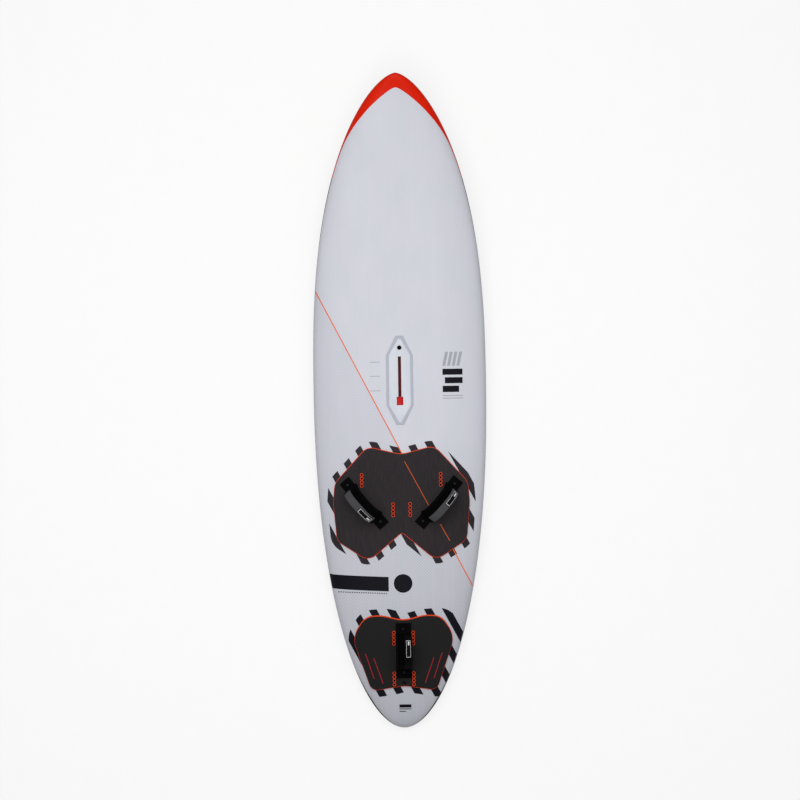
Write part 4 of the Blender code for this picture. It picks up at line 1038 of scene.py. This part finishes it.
vent_housing = turned("vent_housing_ring", [
    (0.0, -0.0184), (0.011, -0.0184), (0.011, -0.0004), (0.0106, 0.0), (0.0082, 0.0), (0.0078, -0.0004),
    (0.0078, -0.0051), (0.0053, -0.0051), (0.0053, -0.0154), (0.0, -0.0154)], 40, VENT_PLACE)
finished(vent_housing, white_plastic, "board", ["vent_housing"])
vent_screw = turned("vent_plug_screw", [
    (0.0, -0.0148), (0.0046, -0.0148), (0.005, -0.0144), (0.005, -0.003), (0.0072, -0.003),
    (0.0075, -0.0027), (0.0075, -0.0004), (0.0071, 0.0), (0.0058, 0.0002), (0.0, 0.0004)], 36, VENT_PLACE)
cut(vent_screw, [prism("coin_slot", round_outline(0.0018, 0.0136, 0.0005), -0.0015, 0.004, VENT_PLACE)])
finished(vent_screw, deep_black, "vent_screw", ["vent_screw"])
rubber = moulded("black_rubber", rgb(14, 14, 14), rgb(24, 24, 24), 0.6, 1500.0, 0.12)
coat(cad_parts["vent_oring"], rubber)

# The fin boxes: glass-filled mouldings bonded into the bottom. The black centre box takes the big fin, and
# the orange side boxes hold theirs with two clamp screws each. Deeper in, the orange side boxes are
# coloured near black: painted shade in their slots.
finished(eased_copy("centre_fin_box", "fin_box_centre", 0.0005), black_plastic, "board",
         ["centre_fin_box"])
box_plastic, box_place = new_finish("orange_moulding", 0.2)
box_pits = noise(box_place, 700.0, detail=5.0)
# Painted shade: the orange is blended to near black deeper inside the box, where the slots are.
box_painted_slot_shade = rising(part_of(box_place, 2), 0.0045, 0.0075)
box_orange = blended(rgb(232, 110, 12), rgb(246, 130, 32), noise(box_place, 45.0))
box_colour = blended(box_orange, rgb(6, 5, 5), box_painted_slot_shade)
surfaced(box_plastic, box_colour, box_pits * 0.25 + 0.38, box_pits, 0.08, 0.0005)


def turned_metal(name, dark, light):
    """Metal off the lathe: fine rings of tool marks, a little brighter on their crests."""
    material, place = new_finish(name, 0.5, metal=1.0)
    rings = place.node("ShaderNodeTexWave", {"wave_type": "RINGS", "rings_direction": "Z"}, {
        "Vector": place, "Scale": 900.0, "Distortion": 2.0})
    return surfaced(material, blended(dark, light, rings), rings * 0.15 + 0.22, rings, 0.05, 0.0002)


CLAMP_OUT = 0.010
CLAMP_ALONG = 0.030
black_steel = turned_metal("blackened_steel", rgb(12, 12, 14), rgb(30, 30, 33))
CLAMP_PROFILE = [
    (0.0, -0.013), (0.0046, -0.013), (0.005, -0.0126), (0.005, -0.0014), (0.0046, -0.001), (0.0030, -0.001),
    (0.0024, -0.0013, 6), (0.0024, -0.005, 6), (0.0, -0.005)]
for side_name, side in (("left", -1), ("right", 1)):
    finished(eased_copy(f"{side_name}_fin_box", f"fin_box_{side_name}", 0.0005), box_plastic, "board",
             [f"{side_name}_fin_box"])
    for end_name, end in (("front", 1), ("rear", -1)):
        spot = side_box_place(side) @ Matrix.Translation((-side * CLAMP_OUT, end * CLAMP_ALONG, 0.0))
        node = f"{side_name}_clamp_screw_{end_name}"
        finished(turned(f"clamp_screw_{side_name}_{end_name}", CLAMP_PROFILE, 24, spot), black_steel, node,
                 [node])

# The screw plugs: strips of tough black plastic let into the deck, four holes in each, that the strap
# screws bite into. They keep their CAD shape and show at the bottom of the rings in the pads.
for node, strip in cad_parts.items():
    if "_plug_" in node:
        coat(strip, black_plastic)

# The deck pads: two layers of closed-cell foam glued to the deck. The orange under-layer shows as a thin
# edge and as moulded rings round the spare screw holes; the charcoal top is brushed for grip.
PAD_BASE = (0.0003, 0.0023)
PAD_TOP = (0.0026, 0.0086)
PAD_RIM = 0.0024
HOLE_PITCH = 0.013
RING_OUTER = 0.0064
RING_INNER = 0.0040
BARE_HOLE = (0.0, 0.157)
PAD_POINTS = 280
PAD_RINGS = 22
BASE_EASE = 0.0005
TOP_EASE = 0.0022


def pad_layer(name, pad, low, high, inset, ease, fore=0.0):
    """A closed foam layer that follows the deck, drawn in from the pad's edge, its top edge eased."""
    thick = high - low
    edge = pad_outline(pad, PAD_POINTS)
    heart = Vector((0.0, ahead_of_middle(pad["from_tail"]) + pad["heart"]))
    profile = [(ring / PAD_RINGS, 0.0, low) for ring in range(PAD_RINGS + 1)]
    profile += [(1.0, 0.0, low + 0.4 * thick), (1.0, 0.25 * ease, low + 0.78 * thick),
                (1.0, 0.6 * ease, low + 0.95 * thick)]
    profile += [(1 - ring / PAD_RINGS, ease, high) for ring in range(PAD_RINGS + 1)]
    edges = {drawn_in: grown(edge, -inset - drawn_in, (0.0, -fore)) for _, drawn_in, _ in profile}

    def point(u, v):
        share, drawn_in, height = profile[round(v * (len(profile) - 1))]
        spot = heart.lerp(edges[drawn_in][round(u * PAD_POINTS) % PAD_POINTS], share)
        return on_deck(spot.x, spot.y + BOARD_LENGTH / 2, height)

    return close_seams(drawn_sheet(name, PAD_POINTS, len(profile) - 1, point))


def stand_on_deck(x, from_tail):
    """A frame on the deck with its Z axis square to it and its Y axis towards the nose."""
    spot = on_deck(x, from_tail, 0.0)
    up = (on_deck(x, from_tail, 0.01) - spot).normalized()
    across = Vector((0.0, 1.0, 0.0)).cross(up).normalized()
    return frame_at(spot, up.cross(across), up)


def ring_places(strips):
    return [stand_on_deck(side * out, from_tail + hole * HOLE_PITCH)
            for out, from_tail in strips for side in (-1, 1) for hole in (-1.5, -0.5, 0.5, 1.5)]


def hole_tools(radius, places):
    outline = round_outline(2 * radius, 2 * radius, radius)
    return [prism("hole", outline, -0.02, 0.03, place) for place in places]


def brushed_foam(name, dark, light, brushed):
    """Charcoal foam with fine open cells, brushed along the board by a share from 0 to 1."""
    material, place = new_finish(name, 0.12)
    streak = noise(place, 240.0, (1.0, 0.10, 0.3), detail=4.0)
    cell = noise(place, 1300.0)
    worn = noise(place, 12.0)
    shade = streak * brushed + cell * (0.6 - brushed / 2) + worn * 0.2 - 0.1
    relief = streak * brushed + cell * 0.4
    return surfaced(material, blended(dark, light, shade), cell * 0.15 + 0.78, relief, 0.35, 0.0008)


base_foam, base_place = new_finish("orange_foam", 0.2)
base_cell = noise(base_place, 1100.0, detail=4.0)
base_colour = blended(rgb(226, 62, 22), rgb(240, 82, 38), base_cell)
surfaced(base_foam, base_colour, base_cell * 0.15 + 0.7, base_cell, 0.2, 0.0006)
front_foam = brushed_foam("front_pad_foam", rgb(32, 29, 31), rgb(58, 53, 56), 0.8)
rear_foam = brushed_foam("rear_pad_foam", rgb(27, 26, 26), rgb(42, 40, 40), 0.1)
for pad_name, pad, strips, bare_holes, top_foam, fore_rim in (
        ("front_pad", FRONT_PAD, SPARE_STRIPS[:2], [], front_foam, 0.0),
        ("rear_pad", REAR_PAD, SPARE_STRIPS[2:], [BARE_HOLE], rear_foam, 0.0018)):
    places = ring_places(strips)
    bare = [stand_on_deck(*hole) for hole in bare_holes]
    base = pad_layer(f"{pad_name}_under_layer", pad, *PAD_BASE, 0.0, BASE_EASE)
    cut(base, hole_tools(RING_INNER, places) + hole_tools(RING_OUTER, bare))
    collars = [turned("collar", [
        (RING_INNER, 0.0015), (RING_OUTER - 0.0002, 0.0015), (RING_OUTER - 0.0002, 0.0083),
        (RING_OUTER - 0.0006, 0.0088), (RING_INNER + 0.0004, 0.0088), (RING_INNER, 0.0083),
        (RING_INNER, 0.0015)], 24, place) for place in places]
    base = joined(f"{pad_name}_under_layer", [base] + collars)
    finished(base, base_foam, "board", [f"{pad_name}_base"])
    top = pad_layer(f"{pad_name}_top_layer", pad, *PAD_TOP, PAD_RIM, TOP_EASE, fore_rim)
    cut(top, hole_tools(RING_OUTER, places + bare))
    finished(top, top_foam, "board", [f"{pad_name}_top"])


def on_pad(x, from_tail, lift):
    """A place on the top of a pad."""
    return on_deck(x, from_tail, PAD_TOP[1] + lift)


pad_lines = [line((0.0126, -0.2158), (0.0945, -0.3703), 0.0022, on_pad),
             line((0.1339, -0.4370), (0.1664, -0.4967), 0.0022, on_pad)]
inked("front_pad_line", pad_lines, printed("dull_orange_ink", rgb(206, 84, 34), rgb(222, 102, 48), 0.6))
pad_dashes = []
for side in (-1, 1):
    for out, front, inner, rear in ((0.133, -0.888, 0.1035, -0.976), (0.1045, -0.904, 0.073, -0.993)):
        pad_dashes.append(line((side * out, front), (side * inner, rear), 0.0018, on_pad))
inked("rear_pad_dashes", pad_dashes, printed("dull_red_ink", rgb(190, 28, 44), rgb(206, 42, 58), 0.6))

# The foot straps: a nylon web carries the load between two screwed end tabs, inside a padded neoprene
# sleeve. A strip closes each sleeve, with a white-edged black patch; the strip is coloured grey on the
# front straps as a painted sheen and near black on the rear strap as painted shade.
STRAPS = {
    "front_left": dict(
        place=((-0.133214, -0.361547, 0.142494), (-0.654783, 0.754892, -0.037370),
               (-0.750095, -0.655104, -0.090536), (-0.092826, -0.031250, 0.995192)),
        reach=0.066, lean=4.0, ends=("inner", "outer"), label=(-53.0, -5.0), label_side=0.0165),
    "front_right": dict(
        place=((0.133214, -0.361547, 0.142502), (-0.654784, -0.754893, 0.037351),
               (0.750096, -0.655102, -0.090536), (0.092814, -0.031265, 0.995193)),
        reach=0.066, lean=4.0, ends=("outer", "inner"), label=(-53.0, -5.0), label_side=0.0165),
    "rear": dict(
        place=((0.0, -0.882358, 0.122629), (0.0, -0.995485, -0.094923),
               (1.0, 0.0, 0.0), (0.0, -0.094923, 0.995485)),
        reach=0.056, lean=2.0, ends=("fore", "aft"), label=(-38.0, 11.0), label_side=0.0145),
}
STRAP_RISE = 0.060
ARCH_POWER = 2 / 2.4
SLEEVE_END = 86.0
SLEEVE_HALF = 0.029
SLEEVE_THICK = 0.0065
SLEEVE_EDGE_ROUND = 0.45
SLEEVE_TOP_ROUND = 0.75
FLAP_END = 61.43
LEAN_END = 66.0
REAR_TAB_GROWTH = 1.28
FLAP_SIDE = 0.0145
LABEL_HALF = 0.0072
FLAP_HALF = 0.014
FLAP_THICK = 0.002
WEB_HALF = 0.018
WEB_THICK = 0.0015
FLAP_LIFT = 0.0004
PATCH_MARGIN = 0.0016
PATCH_LIFT = FLAP_LIFT + FLAP_THICK - 0.0002
PATCH_THICK = 0.0007
OUTLINE_LIFT = FLAP_LIFT + FLAP_THICK + 0.0004
OUTLINE_HALF = 0.0005
OUTLINE_THICK = 0.0003
OUTLINE_END = 1.3
STITCH_SIDES = (-0.0245, 0.0258)
STITCH_COUNT = 27
STITCH_START = -78.0
STITCH_PITCH = 6.0
STITCH_SPAN = 3.6
STITCH_RADIUS = 0.0005
SCREW_HEAD = 0.0035
ALONG = [step / 20 - 1 for step in range(41)]


def swollen(wave, power):
    """A sine or cosine drawn out towards a square, so that a round section turns flatter."""
    return math.copysign(abs(wave) ** power, wave)


def arch(reach, degrees, out):
    """A place on a strap's arch: x along the span and z up, moved out square to the curve."""
    def spot(turn):
        swing = math.sin(math.radians(turn))
        rise = max(math.cos(math.radians(turn)), 0.0)
        return Vector((swollen(swing, ARCH_POWER) * reach, rise ** ARCH_POWER * STRAP_RISE))
    run = (spot(min(degrees + 0.5, 90.0)) - spot(max(degrees - 0.5, -90.0))).normalized()
    return spot(degrees) + Vector((-run.y, run.x)) * out


def strap_spot(strap, degrees, side, out):
    """A place on a strap in the board's frame: turn along its arch, sideways and outwards.
    The strap leans to one side, less and less towards its ends."""
    spot, along, across, up = (Vector(way) for way in strap["place"])
    flat = arch(strap["reach"], degrees, out)
    lean = math.radians(strap["lean"]) * max(1 - (degrees / LEAN_END) ** 4, 0.0)
    side_way = across * math.cos(lean) - up * math.sin(lean)
    up_way = up * math.cos(lean) + across * math.sin(lean)
    return spot + along * flat.x + side_way * side + up_way * flat.y


def sleeve_top(side):
    """How far the sleeve's outer face stands off the arch, by the place across it."""
    share = min(abs(side) / SLEEVE_HALF, 1.0) ** (1 / SLEEVE_EDGE_ROUND)
    return SLEEVE_THICK * math.sqrt(max(1 - share ** 2, 0.0)) ** SLEEVE_TOP_ROUND


def drawn_sleeve(name, strap):
    """The padded sleeve: a flat, swollen tube along the arch, closed at both ends, creased inside."""
    ends = [0.0, 0.45, 0.8, 0.96]
    sizes = ends + [1.0] * len(ALONG) + ends[::-1]
    turns = [-1.0] * len(ends) + ALONG + [1.0] * len(ends)

    def point(u, v):
        row = round(v * (len(sizes) - 1))
        turn = 2 * math.pi * u
        side = swollen(math.cos(turn), SLEEVE_EDGE_ROUND) * SLEEVE_HALF
        out = swollen(math.sin(turn), SLEEVE_TOP_ROUND) * SLEEVE_THICK
        degrees = turns[row] * SLEEVE_END
        crease = 1 - 0.05 * math.cos(degrees * 0.21) if out < 0 else 1.0
        return strap_spot(strap, degrees, side * sizes[row], out * crease * sizes[row])
    return close_seams(drawn_sheet(name, 48, len(sizes) - 1, point))


def drawn_band(name, strap, span, middle, half, lift, thick):
    """A flat band with eased edges on the sleeve, over a span of the arch in degrees."""
    steps = [-1.0] * 2 + ALONG + [1.0] * 2
    sizes = [0.0, 0.9] + [1.0] * len(ALONG) + [0.9, 0.0]
    section = [(-1.0, 0.25), (-0.97, 0.0)] + [(share / 5, 0.0) for share in range(-4, 5)] + [(0.97, 0.0)]
    section += [(1.0, 0.25), (1.0, 0.75), (0.97, 1.0)] + [(share / 5, 1.0) for share in range(4, -5, -1)]
    section += [(-0.97, 1.0), (-1.0, 0.75)]
    start, end = span

    def point(u, v):
        row = round(v * (len(steps) - 1))
        share, height = section[round(u * len(section)) % len(section)]
        side = middle + share * half
        height = 0.5 + (height - 0.5) * sizes[row]
        turn = (start + end) / 2 + (end - start) / 2 * steps[row]
        return strap_spot(strap, turn, side, sleeve_top(side) + lift + height * thick)
    return close_seams(drawn_sheet(name, len(section), len(steps) - 1, point))


def drawn_web(name, strap):
    """The web: flat along the arch, its two ends half discs below the axis of the strap."""
    rows = [(-1, 90.0 - 9 * step) for step in range(10)]
    rows += [(0, step * 4.5 - 90.0) for step in range(41)]
    rows += [(1, 9.0 * step) for step in range(11)]
    across_web = (-0.98, -0.5, 0.0, 0.5, 0.98)
    section = [(-1.0, -0.4)] + [(share, -1.0) for share in across_web] + [(1.0, -0.4), (1.0, 0.4)]
    section += [(-share, 1.0) for share in across_web] + [(-1.0, 0.4)]
    spot, along, across, up = (Vector(way) for way in strap["place"])

    def point(u, v):
        end, turn = rows[round(v * (len(rows) - 1))]
        share, height = section[round(u * len(section)) % len(section)]
        if end == 0:
            return strap_spot(strap, turn, share * WEB_HALF, height * WEB_THICK)
        side = share * WEB_HALF * math.cos(math.radians(turn))
        drop = WEB_HALF * math.sin(math.radians(turn))
        return spot + along * (end * (strap["reach"] + height * WEB_THICK)) + across * side - up * drop
    return close_seams(drawn_sheet(name, len(section), len(rows) - 1, point))


def drawn_stitch(strap, middle, side):
    sizes = [0.0, 0.9, 1.0, 0.9, 0.0]

    def point(u, v):
        size = sizes[round(v * 4)] * STITCH_RADIUS
        turn = 2 * math.pi * u
        out = sleeve_top(side) + size * math.sin(turn)
        return strap_spot(strap, middle + (v - 0.5) * STITCH_SPAN, side + size * math.cos(turn), out)
    return close_seams(drawn_sheet("stitch", 6, 4, point))


def woven(name, dark, light, across_count, along_count, relief):
    """Cloth on a piece's own UV map: two sets of threads that pass over and under each other."""
    material, place = new_finish(name, 0.02)
    threads = Tone(place.socket.node.outputs["UV"])
    warp = part_of(threads, 0) * (2 * math.pi * across_count)
    weft = part_of(threads, 1) * (2 * math.pi * along_count)
    weave = warp.maths("SINE", warp, 0.0) * weft.maths("SINE", weft, 0.0) * 0.5 + 0.5
    fuzz = noise(place, 1800.0)
    colour = blended(dark, light, weave * 0.6 + fuzz * 0.4)
    return surfaced(material, colour, fuzz * 0.2 + 0.72, weave * 0.7 + fuzz * 0.3, relief, 0.0006)


sleeve_cloth = woven("black_neoprene", rgb(1, 1, 1), rgb(5, 5, 6), 110.0, 170.0, 0.3)
web_cloth = woven("black_web", rgb(3, 3, 4), rgb(12, 12, 13), 26.0, 150.0, 0.6)
# The closing strip in two tones of one material: the grey is a painted sheen, the near black is painted
# shade.
painted_sheen_strip = moulded("painted_sheen_strip", rgb(56, 56, 59), rgb(76, 76, 80), 0.6, 1100.0, 0.25)
painted_shade_strip = moulded("painted_shade_strip", rgb(2, 2, 3), rgb(7, 7, 8), 0.6, 1100.0, 0.25, shine=0.04)
patch_rubber = moulded("black_patch", rgb(3, 3, 4), rgb(9, 9, 10), 0.5, 1300.0, 0.2, shine=0.06)
white_ink = printed("white_outline", rgb(205, 205, 207), rgb(224, 224, 226), 0.45)
thread = moulded("black_thread", rgb(12, 12, 13), rgb(30, 30, 32), 0.6, 2500.0, 0.3)
for strap_name, strap in STRAPS.items():
    name = f"{strap_name}_strap"
    sleeve = drawn_sleeve(f"{name}_padded_sleeve", strap)
    finished(sleeve, sleeve_cloth, name, [f"{name}_sleeve"], smooth=60.0)
    finished(drawn_web(f"{name}_web", strap), web_cloth, name, [f"{name}_webbing"])
    stitches = [drawn_stitch(strap, STITCH_START + step * STITCH_PITCH, side)
                for side in STITCH_SIDES for step in range(STITCH_COUNT)]
    finished(joined(f"{name}_stitching", stitches), thread, name)
    flap_body = f"{name}_flap"
    (start, stop), side = strap["label"], strap["label_side"]
    flap = drawn_band(f"{name}_closing_strip", strap, (-FLAP_END, FLAP_END), FLAP_SIDE, FLAP_HALF,
                      FLAP_LIFT, FLAP_THICK)
    # Painted sheen on the front straps' strips, painted shade on the rear strap's strip.
    finished(flap, painted_shade_strip if strap_name == "rear" else painted_sheen_strip, flap_body, [flap_body])
    black_patch = drawn_band(f"{name}_patch", strap, (start - 1.0, stop + 2.0), side,
                             LABEL_HALF + PATCH_MARGIN, PATCH_LIFT, PATCH_THICK)
    finished(black_patch, patch_rubber, flap_body)
    outline = [drawn_band("outline", strap, *strip, OUTLINE_LIFT, OUTLINE_THICK) for strip in (
        ((start, stop), side - LABEL_HALF, OUTLINE_HALF),
        ((start, stop), side + LABEL_HALF, OUTLINE_HALF),
        ((start, start + OUTLINE_END), side, LABEL_HALF + OUTLINE_HALF),
        ((stop - OUTLINE_END, stop), side, LABEL_HALF + OUTLINE_HALF),
        ((start + 4.0, start + 17.0), side + 0.001, 0.0026))]
    finished(joined(f"{name}_patch_outline", outline), white_ink, flap_body)
    for end in strap["ends"]:
        tab = eased_copy(f"{name}_tab_{end}", f"{name}_end_tab_{end}", 0.0006)
        if strap_name == "rear":
            for vertex in tab.data.vertices:
                vertex.co.x *= REAR_TAB_GROWTH
        finished(tab, deep_black, "board", [f"{name}_tab_{end}"])
        node = f"{name}_screw_{end}"
        spots = [vertex.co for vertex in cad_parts[node].data.vertices]
        middle = sum(spots, Vector()) / len(spots)
        place = stand_on_deck(middle.x, middle.y + BOARD_LENGTH / 2)
        up = place.to_3x3().col[2]
        head = max((spot - place.translation).dot(up) for spot in spots)
        centre = place.inverted() @ middle
        place = place @ Matrix.Translation((centre.x, centre.y, head - SCREW_HEAD))
        screw = turned(f"{name}_tab_screw_{end}", [
            (0.0, -0.0250), (0.0028, -0.0250), (0.0028, 0.0), (0.0060, 0.0), (0.0060, 0.0014),
            (0.0056, 0.0024), (0.0044, 0.0032), (0.0030, SCREW_HEAD), (0.0021, 0.0033, 6),
            (0.0021, 0.0015, 6), (0.0, 0.0015)], 24, place)
        finished(screw, black_steel, "board", [node])
